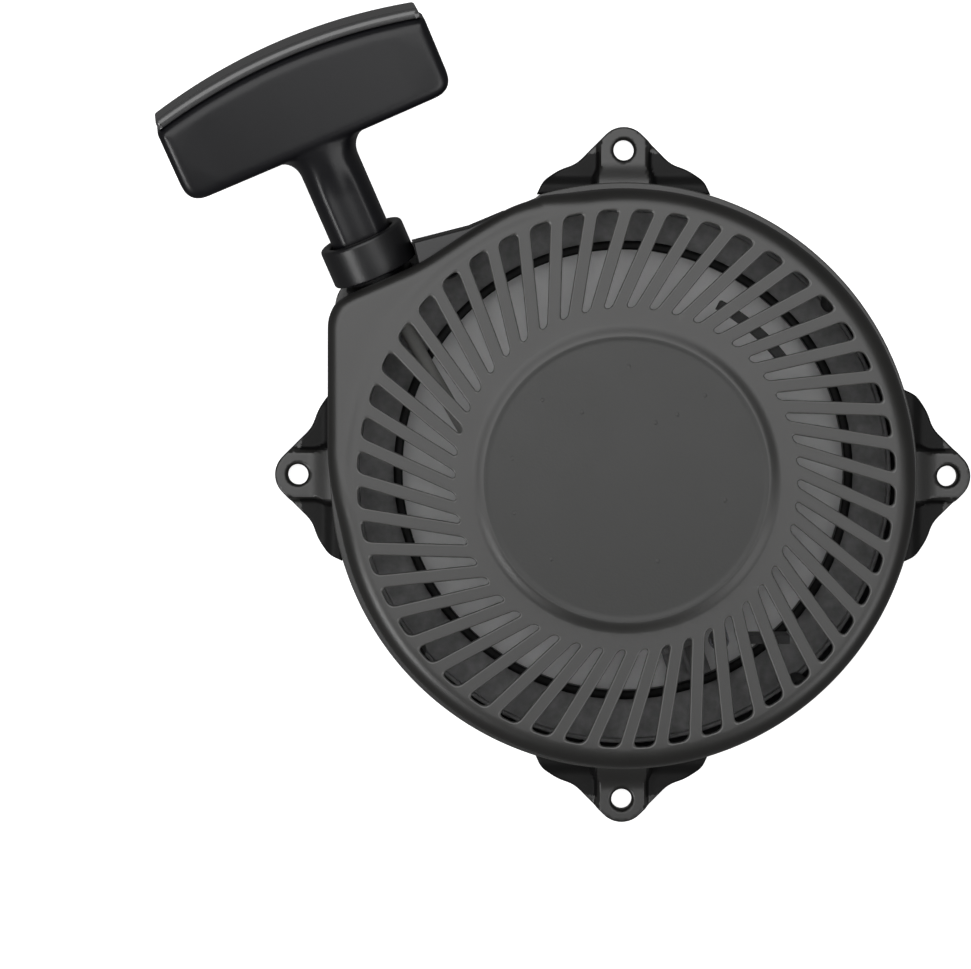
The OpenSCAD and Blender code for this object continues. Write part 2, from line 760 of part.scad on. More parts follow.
// friction plate: split disc that lags behind the pulley and pushes the pawls out
module friction_plate() {
    color(plate_blue)
    difference() {
        union() {
            translate([0, 0, plate_z])
                cylinder(h = plate_t, r = plate_r, $fn = 96);
            for (a = [0, 180])
                rotate([0, 0, a + lug_turn])
                    translate([lug_at_r, 0, plate_z])
                        cylinder(h = lug_top_z - plate_z, r = lug_r, $fn = 32);
        }
        translate([0, 0, plate_z - cut])
            cylinder(h = plate_t + 2 * cut, r = sleeve_r + running_gap, $fn = 48);
        // slit from the bore to the rim, and a shorter one with a round end
        rotate([0, 0, long_slit_turn])
            translate([0, -slit_w / 2, plate_z - cut])
                cube([plate_r + 2, slit_w, plate_t + 2 * cut]);
        rotate([0, 0, short_slit_turn]) {
            translate([0, -slit_w / 2, plate_z - cut])
                cube([short_slit_r, slit_w, plate_t + 2 * cut]);
            translate([short_slit_r, 0, plate_z - cut])
                cylinder(h = plate_t + 2 * cut, r = slit_end_r, $fn = 32);
        }
        // two shallow arc grooves in the rear face
        for (a = plate_groove_turns)
            translate([0, 0, plate_z - cut])
                linear_extrude(cut + 1)
                    polygon(concat(
                        arc([0, 0], plate_groove_r + plate_groove_w / 2, a, a + plate_groove_angle, 10),
                        arc([0, 0], plate_groove_r - plate_groove_w / 2, a + plate_groove_angle, a, 10)));
        // two notches in the rim
        for (a = plate_notch_turns)
            rotate([0, 0, a])
                translate([plate_r - plate_notch_depth, -plate_notch_w / 2, plate_z - cut])
                    cube([4, plate_notch_w, plate_t + 2 * cut]);
    }
}

// height of the cross bar's arched top at y, above the bar's low edge
function arch(y) = bar_end_h + bar_arch * (1 - pow(2 * y / grip_len, 2));
half = grip_len / 2;
arch_n = 12;
// lower edge of the cross bar and its two fillets into the stem, from left to right
function low_side(m) = concat(
    [for (p = arc([-half + bar_corner, bar_low + bar_corner], bar_corner, 180, 270, 4))
        [m * p[0], p[1]]],
    [for (p = arc([-stem_d / 2 - stem_fillet, bar_low - stem_fillet], stem_fillet, 90, 0, 6))
        [m * p[0], p[1]]]);
bar_outline = concat(low_side(1), reversed(low_side(-1)),
    [for (i = [0 : arch_n]) let(y = half - grip_len * i / arch_n) [y, bar_low + arch(y) - cap_h]]);
cap_outline = concat(
    [for (i = [0 : arch_n])
        let(y = -half + grip_len * i / arch_n) [y, bar_low + arch(y) - cap_h + cap_gap]],
    [for (i = [0 : arch_n]) let(y = half - grip_len * i / arch_n) [y, bar_low + arch(y)]]);

// extrudes an outline drawn across and along the handle to thickness t, centred on the stem
module across(t) {
    translate([t / 2, 0, 0])
        rotate([90, 0, -90])
            mirror([1, 0, 0])
                linear_extrude(t)
                    children();
}

// T handle: stem and cross bar, hollow for the rope and its knot
module handle_grip() {
    color(handle_black)
    on_outlet()
        difference() {
            union() {
                across(grip_t)
                    difference() {
                        polygon(bar_outline);
                        translate([-half, bar_low - stem_fillet - 1])
                            square([grip_len, 1 + root]);
                    }
                translate([0, 0, stem_start])
                    cylinder(h = bar_low - stem_start + 2, r = stem_d / 2, $fn = 48);
            }
            // shallow flutes in the front and back of the stem
            for (s = [-1, 1])
                translate([s * (stem_d / 2 + flute_r - flute_depth), 0, stem_start - cut])
                    cylinder(h = flute_top - stem_start + cut, r = flute_r, $fn = 32);
            translate([0, 0, stem_start - cut])
                cylinder(h = 2 * bar_low, r = rope_r + 0.4, $fn = 32);
            translate([0, 0, washer_s])
                cylinder(h = 2 * bar_low, r = chamber_r, $fn = 48);
        }
}

// arched cap that closes the top of the cross bar
module handle_cap() {
    color(handle_black)
    on_outlet()
        across(grip_t - 2 * cap_step)
            polygon(cap_outline);
}

// washer that the rope's knot pulls against, inside the handle
module knot_washer() {
    color(zinc)
    on_outlet(washer_s)
        difference() {
            cylinder(h = knot_washer_t, r = chamber_r - 0.3, $fn = 32);
            translate([0, 0, -cut])
                cylinder(h = knot_washer_t + 2 * cut, r = rope_r + 0.3, $fn = 32);
        }
}

// the rope's knot inside the handle
module handle_knot() {
    color(rope_grey)
    on_outlet(washer_s + knot_washer_t + 0.1 + knot_r)
        sphere(r = knot_r, $fn = 32);
}

// the stretch of rope inside the guide and the handle's stem
module rope_lead() {
    color(rope_grey)
    on_outlet(rope_start)
        cylinder(h = washer_s + 1 - rope_start, r = rope_r, $fn = 32);
}

housing();
air_guide_ring();
rope_guide();
spring_cover();
recoil_spring();
centre_sleeve();
thrust_washer();
centre_screw();
rope_run();
pulley();
rope_coil();
pulley_knot();
pawl_springs();
friction_plate();
pawl_a();
pawl_b();
handle_grip();
handle_cap();
handle_knot();
knot_washer();
rope_lead();
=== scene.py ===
import math

import bmesh
import bpy
import numpy as np
from mathutils import Matrix, Vector
from mathutils.geometry import delaunay_2d_cdt


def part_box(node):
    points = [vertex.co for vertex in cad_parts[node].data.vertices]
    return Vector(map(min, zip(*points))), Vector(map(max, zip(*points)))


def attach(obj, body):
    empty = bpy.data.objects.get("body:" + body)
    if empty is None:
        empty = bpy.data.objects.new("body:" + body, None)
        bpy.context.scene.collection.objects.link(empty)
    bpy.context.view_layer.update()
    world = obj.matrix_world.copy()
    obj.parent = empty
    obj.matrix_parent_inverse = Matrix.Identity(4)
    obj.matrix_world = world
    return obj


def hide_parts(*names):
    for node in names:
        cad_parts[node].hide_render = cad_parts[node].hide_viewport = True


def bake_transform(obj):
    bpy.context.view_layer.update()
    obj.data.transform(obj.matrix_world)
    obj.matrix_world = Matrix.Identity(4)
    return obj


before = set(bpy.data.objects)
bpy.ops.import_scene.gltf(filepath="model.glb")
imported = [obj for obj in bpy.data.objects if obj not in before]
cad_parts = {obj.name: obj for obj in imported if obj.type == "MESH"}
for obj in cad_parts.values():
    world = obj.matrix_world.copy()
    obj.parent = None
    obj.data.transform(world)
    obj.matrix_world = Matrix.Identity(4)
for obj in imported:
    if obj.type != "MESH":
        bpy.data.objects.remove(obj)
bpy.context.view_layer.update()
MM = 0.001


# ---------------------------------------------------------------- small tools

def polar(r, a):
    """Point at radius r and angle a in degrees."""
    return np.array([r * math.cos(math.radians(a)), r * math.sin(math.radians(a))])


def smooth_step(lo, hi, x):
    """0 at lo, 1 at hi, and level at both."""
    t = np.clip((x - lo) / (hi - lo), 0, 1)
    return t * t * (3 - 2 * t)


def arc(c, r, a, b, n):
    """Points on an arc from angle a to angle b."""
    return [tuple(np.array(c) + polar(r, a + (b - a) * i / n)) for i in range(n + 1)]


def resample(points, step):
    """The same closed outline with a point about every step."""
    pts = [np.array(p, float) for p in points]
    out = []
    for p, q in zip(pts, pts[1:] + pts[:1]):
        n = max(1, int(round(np.linalg.norm(q - p) / step)))
        out += [p + (q - p) * i / n for i in range(n)]
    return [tuple(p) for p in out]


def round_corners(points, radius, n=5):
    """A closed outline with each corner cut by an arc-like curve."""
    pts = [np.array(p, float) for p in points]
    radii = radius if isinstance(radius, (list, tuple)) else [radius] * len(pts)
    out = []
    for i, p in enumerate(pts):
        a, b, r = pts[i - 1], pts[(i + 1) % len(pts)], radii[i]
        if r <= 0:
            out.append(tuple(p))
            continue
        da, db = a - p, b - p
        la, lb = np.linalg.norm(da), np.linalg.norm(db)
        d = min(r, la * 0.45, lb * 0.45)
        s, e = p + da / la * d, p + db / lb * d
        for k in range(n + 1):
            t = k / n
            out.append(tuple((1 - t) ** 2 * s + 2 * t * (1 - t) * p + t * t * e))
    return out


def inset(points, d):
    """A counter-clockwise outline moved inwards by d."""
    p = np.array(points, float)
    e1 = p - np.roll(p, 1, 0)
    e2 = np.roll(p, -1, 0) - p
    e1 /= np.maximum(np.linalg.norm(e1, axis=1, keepdims=True), 1e-9)
    e2 /= np.maximum(np.linalg.norm(e2, axis=1, keepdims=True), 1e-9)
    n1 = np.stack([-e1[:, 1], e1[:, 0]], 1)
    n2 = np.stack([-e2[:, 1], e2[:, 0]], 1)
    m = n1 + n2
    m /= np.maximum(np.linalg.norm(m, axis=1, keepdims=True), 1e-9)
    cos = np.clip((m * n1).sum(1), 0.5, 1)
    return p + m * (d / cos)[:, None]


def area(points):
    """Area of an outline, negative when it runs clockwise."""
    p = np.array(points, float)
    q = np.roll(p, -1, 0)
    return 0.5 * float((p[:, 0] * q[:, 1] - q[:, 0] * p[:, 1]).sum())


def inside(point, outline):
    """True where a ray from the point crosses the outline an odd number of times."""
    x, y = point
    hit = False
    for (x1, y1), (x2, y2) in zip(outline, outline[1:] + outline[:1]):
        if (y1 > y) != (y2 > y) and x < (x2 - x1) * (y - y1) / (y2 - y1) + x1:
            hit = not hit
    return hit


def fill(outline, holes=(), extra=()):
    """Triangles of a flat shape with holes, as (points, faces), through any extra points.

    The outline's points come first and in order, then the holes', so that rings can join on.
    """
    loops = [list(outline)] + [list(h) for h in holes]
    pts, edges = [], []
    for loop in loops:
        start = len(pts)
        pts += loop
        edges += [(start + i, start + (i + 1) % len(loop)) for i in range(len(loop))]
    pts += list(extra)
    v, _, f, orig, _, _ = delaunay_2d_cdt([Vector(p) for p in pts], edges, [], 0, 1e-5)
    keep = []
    for tri in f:
        c = sum((v[i] for i in tri), Vector((0, 0))) / len(tri)
        if inside(c, loops[0]) and not any(inside(c, h) for h in loops[1:]):
            keep.append(list(tri))
    # the triangulation may renumber the points, so every face is given in the first numbering
    out = [tuple(p) for p in pts]
    names = {}
    for new, olds in enumerate(orig):
        if olds:
            names[new] = min(olds)
        else:
            names[new] = len(out)
            out.append(tuple(v[new]))
    faces = []
    for tri in keep:
        ids = [names[i] for i in tri]
        q = [out[i] for i in ids]
        if area(q) < 0:
            ids.reverse()
        faces.append(ids)
    return out, faces


def turn_z(a):
    """A turn about the axis by a degrees, as a matrix."""
    return Matrix.Rotation(math.radians(a), 4, "Z")


def box_outline(x0, y0, x1, y1, r=0.0):
    """A rectangle, with rounded corners where r is given."""
    pts = [(x0, y0), (x1, y0), (x1, y1), (x0, y1)]
    return round_corners(pts, r, 3) if r else pts


class Solid:
    """Vertices in millimetres and faces, built up piece by piece."""

    def __init__(self):
        self.v = []
        self.f = []

    def add(self, verts, faces):
        """Adds vertices, and faces that number them from nought."""
        start = len(self.v)
        self.v += [tuple(map(float, p)) for p in verts]
        self.f += [[start + i for i in face] for face in faces]
        return self

    def grid(self, rings, close_rows=False, flip=False):
        """Quads between rings of equal length. close_rows joins the last ring to the first."""
        n, start = len(rings[0]), len(self.v)
        for ring in rings:
            self.v += [tuple(map(float, p)) for p in ring]
        rows = len(rings)
        for i in range(rows if close_rows else rows - 1):
            this, after = start + i * n, start + (i + 1) % rows * n
            for k in range(n):
                quad = [this + k, this + (k + 1) % n, after + (k + 1) % n, after + k]
                self.f.append(quad[::-1] if flip else quad)
        return self

    def lathe(self, profile, n=128, centre=(0, 0)):
        """Revolves a closed, counter-clockwise profile of (radius, height) about a vertical axis."""
        x, y = centre
        rings = []
        for r, z in profile:
            # a point on the axis stays a hair off it, and the merge closes it
            r = max(r, 0.001)
            turns = [2 * math.pi * k / n for k in range(n)]
            rings.append([(x + r * math.cos(a), y + r * math.sin(a), z) for a in turns])
        return self.grid(rings, close_rows=True, flip=True)

    def prism(self, outline, z0, z1, top=0.3, bottom=0.3, seg=2, holes=()):
        """A plate from z0 to z1 with its edges rounded by top and bottom. Holes get the same rounding."""
        loops = []
        for loop in [outline, *holes]:
            loop = [tuple(p) for p in loop]
            loops.append(loop if area(loop) > 0 else loop[::-1])
        caps = {"low": [], "high": []}
        # (inset, height) up the side
        quarter = [math.pi / 2 * k / seg for k in range(seg + 1)]
        steps = [(bottom * (1 - math.sin(a)), z0 + bottom * (1 - math.cos(a))) for a in quarter]
        steps += [(top * (1 - math.cos(a)), z1 - top * (1 - math.sin(a))) for a in quarter]
        for index, loop in enumerate(loops):
            sign = 1 if index == 0 else -1
            rings = []
            for d, z in steps:
                ring = inset(loop, sign * d) if d > 1e-9 else np.array(loop, float)
                rings.append([(x, y, z) for x, y in ring])
            self.grid(rings, flip=sign < 0)
            caps["low"].append([p[:2] for p in rings[0]])
            caps["high"].append([p[:2] for p in rings[-1]])
        for name, z in (("low", z0), ("high", z1)):
            pts, faces = fill(caps[name][0], caps[name][1:])
            if name == "low":
                faces = [f[::-1] for f in faces]
            self.add([(x, y, z) for x, y in pts], faces)
        return self

    def turn(self, matrix, start=0):
        """Moves the vertices from number start on."""
        self.v[start:] = [tuple(matrix @ Vector(p)) for p in self.v[start:]]
        return self

    def tube(self, path, r, n=16, closed=False):
        """A round tube along a path, with flat ends unless it is closed."""
        p = np.array(path, float)
        count = len(p)
        if closed:
            d = np.roll(p, -1, 0) - np.roll(p, 1, 0)
        else:
            d = np.gradient(p, axis=0)
        d /= np.linalg.norm(d, axis=1, keepdims=True)
        turns = [2 * math.pi * k / n for k in range(n)]
        u = np.cross(d[0], [0, 0, 1.0])
        rings = []
        for i in range(count):
            # u stays square to the path and w is square to both
            u = u - d[i] * (u @ d[i])
            u /= np.linalg.norm(u)
            w = np.cross(d[i], u)
            rings.append([p[i] + r * (math.cos(a) * u + math.sin(a) * w) for a in turns])
        self.grid(rings, close_rows=closed)
        if not closed:
            self.cap_ends(rings)
        return self

    def cap_ends(self, rings):
        """Closes the first and the last of the rings that were added last."""
        n = len(rings[0])
        last = len(self.v) - n
        first = len(self.v) - len(rings) * n
        self.f.append([first + k for k in range(n - 1, -1, -1)])
        self.f.append([last + k for k in range(n)])

    def build(self, name, body, material, slot, *nodes, angle=35, merge=0.002):
        """Makes the piece in the scene, on its body, for the CAD nodes that it replaces. The slot is not
        used.
        """
        mesh = bpy.data.meshes.new(name)
        mesh.from_pydata([(x * MM, y * MM, z * MM) for x, y, z in self.v], [], self.f)
        obj = bpy.data.objects.new(name, mesh)
        bpy.context.scene.collection.objects.link(obj)
        bm = bmesh.new()
        bm.from_mesh(mesh)
        bmesh.ops.remove_doubles(bm, verts=bm.verts, dist=merge * MM)
        bmesh.ops.recalc_face_normals(bm, faces=bm.faces)
        bm.to_mesh(mesh)
        bm.free()
        finish_mesh(obj, angle)
        mesh.materials.append(material)
        if body:
            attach(obj, body)
        if nodes:
            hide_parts(*nodes)
        return obj


def finish_mesh(obj, angle):
    """Smooth shading that stays crisp over edges sharper than angle."""
    mesh = obj.data
    mesh.shade_smooth()
    mesh.set_sharp_from_angle(angle=math.radians(angle))
    mod = obj.modifiers.new("normals", "WEIGHTED_NORMAL")
    mod.keep_sharp = True
    mod.weight = 50


# ---------------------------------------------------------------- materials

# noise scale of the blotches, and depth of the grain in metres
BLOTCH_SCALE = 45
GRAIN_DEPTH = 0.00008


def material(name, colour, rough, grain=0.25, grain_size=0.45, spread=0.06, vary=0.12, metal=0.0, wear_and_highlight=0.0,
             spec=0.5, streak=(1, 1, 1), mottle=0.0):
    """A moulded or metal finish: fine grain, drifting roughness and colour, lighter edges that stand for both
    wear and a painted highlight.
    """
    m = bpy.data.materials.new(name)
    m.use_nodes = True
    nt = m.node_tree
    n, link = nt.nodes, nt.links
    shader = n["Principled BSDF"]
    shader.inputs["Metallic"].default_value = metal
    shader.inputs["Specular IOR Level"].default_value = spec
    place = n.new("ShaderNodeTexCoord")
    stretch = n.new("ShaderNodeMapping")
    stretch.inputs["Scale"].default_value = streak
    link.new(place.outputs["Object"], stretch.inputs["Vector"])

    fine = n.new("ShaderNodeTexNoise")
    fine.inputs["Scale"].default_value = 1000 / grain_size / 2
    fine.inputs["Detail"].default_value = 3
    link.new(stretch.outputs["Vector"], fine.inputs["Vector"])
    broad = n.new("ShaderNodeTexNoise")
    broad.inputs["Scale"].default_value = BLOTCH_SCALE
    broad.inputs["Detail"].default_value = 6
    broad.inputs["Roughness"].default_value = 0.6
    link.new(place.outputs["Object"], broad.inputs["Vector"])

    dark = [c * (1 - vary) for c in colour]
    light = [min(1, c * (1 + vary)) for c in colour]
    tone = n.new("ShaderNodeMix")
    tone.data_type = "RGBA"
    tone.inputs["A"].default_value = (*dark, 1)
    tone.inputs["B"].default_value = (*light, 1)
    blotch = n.new("ShaderNodeMix")
    blotch.inputs["Factor"].default_value = mottle
    link.new(broad.outputs["Fac"], blotch.inputs["A"])
    link.new(fine.outputs["Fac"], blotch.inputs["B"])
    link.new(blotch.outputs["Result"], tone.inputs["Factor"])
    last = tone.outputs["Result"]
    # edges lighten where Pointiness is high: partly wear, partly a painted highlight on the edges
    if wear_and_highlight:
        geometry = n.new("ShaderNodeNewGeometry")
        edge = n.new("ShaderNodeMapRange")
        edge.inputs["From Min"].default_value = 0.52
        edge.inputs["From Max"].default_value = 0.62
        edge.inputs["To Max"].default_value = wear_and_highlight
        link.new(geometry.outputs["Pointiness"], edge.inputs["Value"])
        rub = n.new("ShaderNodeMath")
        rub.operation = "MULTIPLY"
        link.new(edge.outputs["Result"], rub.inputs[0])
        link.new(fine.outputs["Fac"], rub.inputs[1])
        worn_and_lit = n.new("ShaderNodeMix")
        worn_and_lit.data_type = "RGBA"
        worn_and_lit.inputs["B"].default_value = (*[min(1, c * 3 + 0.06) for c in colour], 1)
        link.new(rub.outputs[0], worn_and_lit.inputs["Factor"])
        link.new(last, worn_and_lit.inputs["A"])
        last = worn_and_lit.outputs["Result"]
    link.new(last, shader.inputs["Base Color"])

    polish = n.new("ShaderNodeMapRange")
    polish.inputs["To Min"].default_value = rough - spread
    polish.inputs["To Max"].default_value = rough + spread
    link.new(broad.outputs["Fac"], polish.inputs["Value"])
    link.new(polish.outputs["Result"], shader.inputs["Roughness"])

    bump = n.new("ShaderNodeBump")
    bump.inputs["Strength"].default_value = grain
    bump.inputs["Distance"].default_value = GRAIN_DEPTH
    link.new(fine.outputs["Fac"], bump.inputs["Height"])
    link.new(bump.outputs["Normal"], shader.inputs["Normal"])
    return m


# the housing's moulded black, its duller disc and paler marks, its edges painted paler as a painted
# highlight, the ring's pale mottled grey, and a near-black painted shade for its deep-set parts
HOUSING = material("housing_plastic", (0.0125, 0.0122, 0.0113), 0.38, wear_and_highlight=0.3, spec=0.72, vary=0.3)
DISC = material("disc_plastic", (0.0125, 0.0128, 0.0118), 0.44, grain=0.35, spread=0.10, spec=0.56, vary=0.5)
# paler plastic for the slots' edges and the bead's crest: a painted highlight where these edges catch the
# light
EDGE_HIGHLIGHT = material("painted_edge_highlight", (0.055, 0.055, 0.053), 0.4, grain=0.15, spec=0.72, vary=0.3)
MARK = material("mark_plastic", (0.023, 0.023, 0.022), 0.5, grain=0.35, spec=0.6, vary=0.3)
RING = material("ring_plastic", (0.165, 0.165, 0.166), 0.42, grain=1.5, grain_size=1.8, spread=0.14, vary=0.9,
                spec=0.6, mottle=0.7)
# near-black painted shade, used on the ribs, the posts, the ring's lip and seat, the outlet's boss and lip
# and the ears' flanks
PAINTED_SHADE = material("shadow_plastic", (0.006, 0.006, 0.006), 0.5, grain=0.4, spec=0.2)
# the handle, its collar and its cap
HANDLE = material("handle_plastic", (0.0045, 0.0045, 0.0058), 0.33, grain=0.15, wear_and_highlight=0.06, spec=0.42)
COLLAR = material("collar_plastic", (0.0060, 0.0060, 0.0068), 0.36, grain=0.3, wear_and_highlight=0.06, spec=0.5)
# the cap's paler grey is partly its own colour and partly painted light, raised to brighten its top band
CAP = material("cap_plastic", (0.055, 0.055, 0.056), 0.26, grain=0.1, spec=0.9)
# what turns inside, and the rope
PULLEY = material("pulley_plastic", (0.05, 0.05, 0.05), 0.38, grain=0.2)
PLATE = material("plate_plastic", (0.035, 0.042, 0.062), 0.3, grain=0.15, vary=0.2)
STEEL = material("spring_steel", (0.05, 0.05, 0.055), 0.4, metal=1.0, grain=0.3, streak=(1, 1, 12), vary=0.2)
PAWL = material("pawl_steel", (0.42, 0.42, 0.43), 0.34, metal=1.0, grain=0.6, grain_size=0.8, vary=0.2)
ZINC = material("zinc_steel", (0.66, 0.68, 0.7), 0.28, metal=1.0, grain=0.3, vary=0.1)
ROPE = material("rope_fibre", (0.26, 0.26, 0.25), 0.75, grain=1.2, grain_size=0.5, vary=0.18)


# ---------------------------------------------------------------- dimensions, in millimetres

# Z is up, out of the engine's mounting plane at Z 0, and the crankshaft's axis is X 0, Y 0

# slotted face: its outside, its underside and the radius where it stops being flat
FACE_Z = 45.0
UNDER_Z = 42.5
FLAT_R = 83.4
# moulded parts behind the face end just inside its thickness
ROOT_Z = UNDER_Z + 0.1

# wall: below the bead, the bead's crest, above the bead, and its inside below and above the bead
WALL_R = 91.1
BEAD_R = 92.0
TOP_R = 89.4
SKIRT_IN_R = 88.6
TOP_IN_R = 86.9
# rounding from the face into the wall: outside, outside at the rope corner, and inside
SHOULDER = 6.0
CORNER_SHOULDER = 4.2
INNER_SHOULDER = 3.0
# how far the face dips towards the rope corner's edge
CORNER_DIP = 0.9

# slots: every bar's middle line passes the axis at the distance SKEW
SLOTS = 48
PITCH = 360 / SLOTS
SLOT_IN = 53.6
SLOT_OUT = 82.8
BAR_W = 4.05
SKEW = 23.7
BAR_START = 2.2
BAR_TURN = BAR_START - math.degrees(math.asin(SKEW / SLOT_IN))
# the slots' rounded edges: (how much wider, how far below the face)
SLOT_EDGE = ((0.5, 0.0), (0.22, 0.10), (0.06, 0.28), (0.0, 0.55))

# plateau: foot of its bead, then the shallow dome inside
PLATEAU_R = 47.9
DOME_R = 41.8
DOME_Z = FACE_Z + 0.80
DOME_RISE = 0.6
# faint round marks of the mould on the disc: radius, then (distance from the axis, angle) of each
MARK_R = 0.65
MARKS = ((35.2, 47), (34.6, 89), (35.4, 137), (35.7, 170), (36.0, 197), (33.8, 227), (27.0, 291), (31.0, 348),
         (24.6, 124), (25.2, 52), (19.5, 63))

# twelve-sided wall round the pulley: its flats, its bore and the angle of a corner; and the ribs outside it
WELL_FLAT_R = 45.2
WELL_R = 43.4
WELL_TURN = 14.1
RIBS = 12
RIB_STEP = 360 / RIBS

# posts that hold the air guide ring
POST_ANGLES = (40, 130, 220, 310)
POST_RING_R = 85.2

# ears, drawn along +X
EAR_ANGLES = (0, 90, 180, 270)
EAR_HOLE_X = 102.5
EAR_HOLE_R = 3.25
EAR_TIP_X = 101.8
EAR_TIP_R = 8.0
# one flank of an ear, from its tip back into the wall
EAR_FLANK = ((103, 10.2), (98.2, 14.9), (96.4, 20.4), (92.9, 25.4), (88.6, 27.4))

# air guide ring, and its opening, which sits off the axis
RING_R = 84.6
RING_IN_R = 69.5
RING_SHIFT = 1.7
# points round its circles
ROUND = 192

# outline of the rope corner, beyond the round wall, and how much each of its points is rounded
CORNER = [(-92.2, -40), (-92.2, -6), (-92.2, 49), (-90.0, 54), (-86.2, 56.4), (-63.8, 66.2), (-47, 77.4),
          (-37, 83.2), (-28, 87.0), (0, 95)]
CORNER_ROUNDING = [0, 3, 7, 5, 5, 6, 6, 5, 3, 0]


def ray_hit(outline, angle):
    """Distance from the centre to an open outline, along the ray at this angle, or 0."""
    d = polar(1, angle)
    best = 0.0
    for p, q in zip(outline, outline[1:]):
        e = np.array(q) - np.array(p)
        det = d[0] * -e[1] + e[0] * d[1]
        if abs(det) < 1e-12:
            continue
        t = (p[0] * -e[1] + e[0] * p[1]) / det
        s = (d[0] * p[1] - d[1] * p[0]) / det
        if -1e-9 <= s <= 1 + 1e-9 and t > best:
            best = t
    return best


# a ring that ends on the axis keeps this radius, and the merge closes it
AXIS_R = 0.0005
# the housing's rings all have their points at these angles
STEPS_PER_SLOT = 8
N_AROUND = SLOTS * STEPS_PER_SLOT
ANGLES = [360 * k / N_AROUND for k in range(N_AROUND)]
DEGREES = np.array(ANGLES)
CORNER_SOFT = round_corners(CORNER, CORNER_ROUNDING, 6)[:-1]
# radius of the corner's outline at each angle; beyond its ends it runs on close to the round wall
JOIN_R = 91.6 + 0.6 * smooth_step(192, 179, DEGREES)
CORNER_HIT = np.array([ray_hit(CORNER_SOFT, a) for a in ANGLES])
RIM_R = np.where((DEGREES > 107.5) & (DEGREES < 180), CORNER_HIT, JOIN_R)
# 1 at the corner, 0 at the round wall
IS_CORNER = smooth_step(97, 115, DEGREES) * smooth_step(192, 174, DEGREES)


def around(radii, heights):
    """A ring with a point at each of ANGLES. Radius and height are one number or one for each point."""
    radii = np.broadcast_to(radii, (N_AROUND,))
    heights = np.broadcast_to(heights, (N_AROUND,))
    return [(*polar(r, a), z) for r, a, z in zip(radii, ANGLES, heights)]


def skew_point(r, d):
    """Point at radius r on the line along X at height d."""
    return np.array([math.sqrt(r * r - d * d), d])


def turned(p, a):
    """A point turned about the axis by a degrees."""
    c, s = math.cos(math.radians(a)), math.sin(math.radians(a))
    return np.array([p[0] * c - p[1] * s, p[0] * s + p[1] * c])


def slot_outline(grow=0.0):
    """Outline of the slot after the bar at angle zero, widened by grow, with a blunt point near the axis."""
    half = BAR_W / 2 - grow
    inner, outer = SLOT_IN - grow * 0.6, SLOT_OUT + grow
    a = skew_point(inner, SKEW + half)
    b = turned(skew_point(inner, SKEW - half), PITCH)
    c = turned(skew_point(outer, SKEW - half), PITCH)
    d = skew_point(outer, SKEW + half)
    mid_in, mid_out = (a + b) / 2, (c + d) / 2
    run = (mid_out - mid_in) / np.linalg.norm(mid_out - mid_in)
    tip = mid_in - 0.9 * run
    corners = [tuple(x) for x in (a, d, c, b, tip + 0.22 * (b - a), tip - 0.22 * (b - a))]
    out = round_corners(corners, [0.8, 2.5, 2.5, 0.8, 0.6, 0.6], 6)
    return out if area(out) > 0 else out[::-1]


def dome_z(r):
    """Height of the plateau's shallow dome."""
    return DOME_Z + DOME_RISE * (1 - (r / DOME_R) ** 2)


# ---------------------------------------------------------------- housing

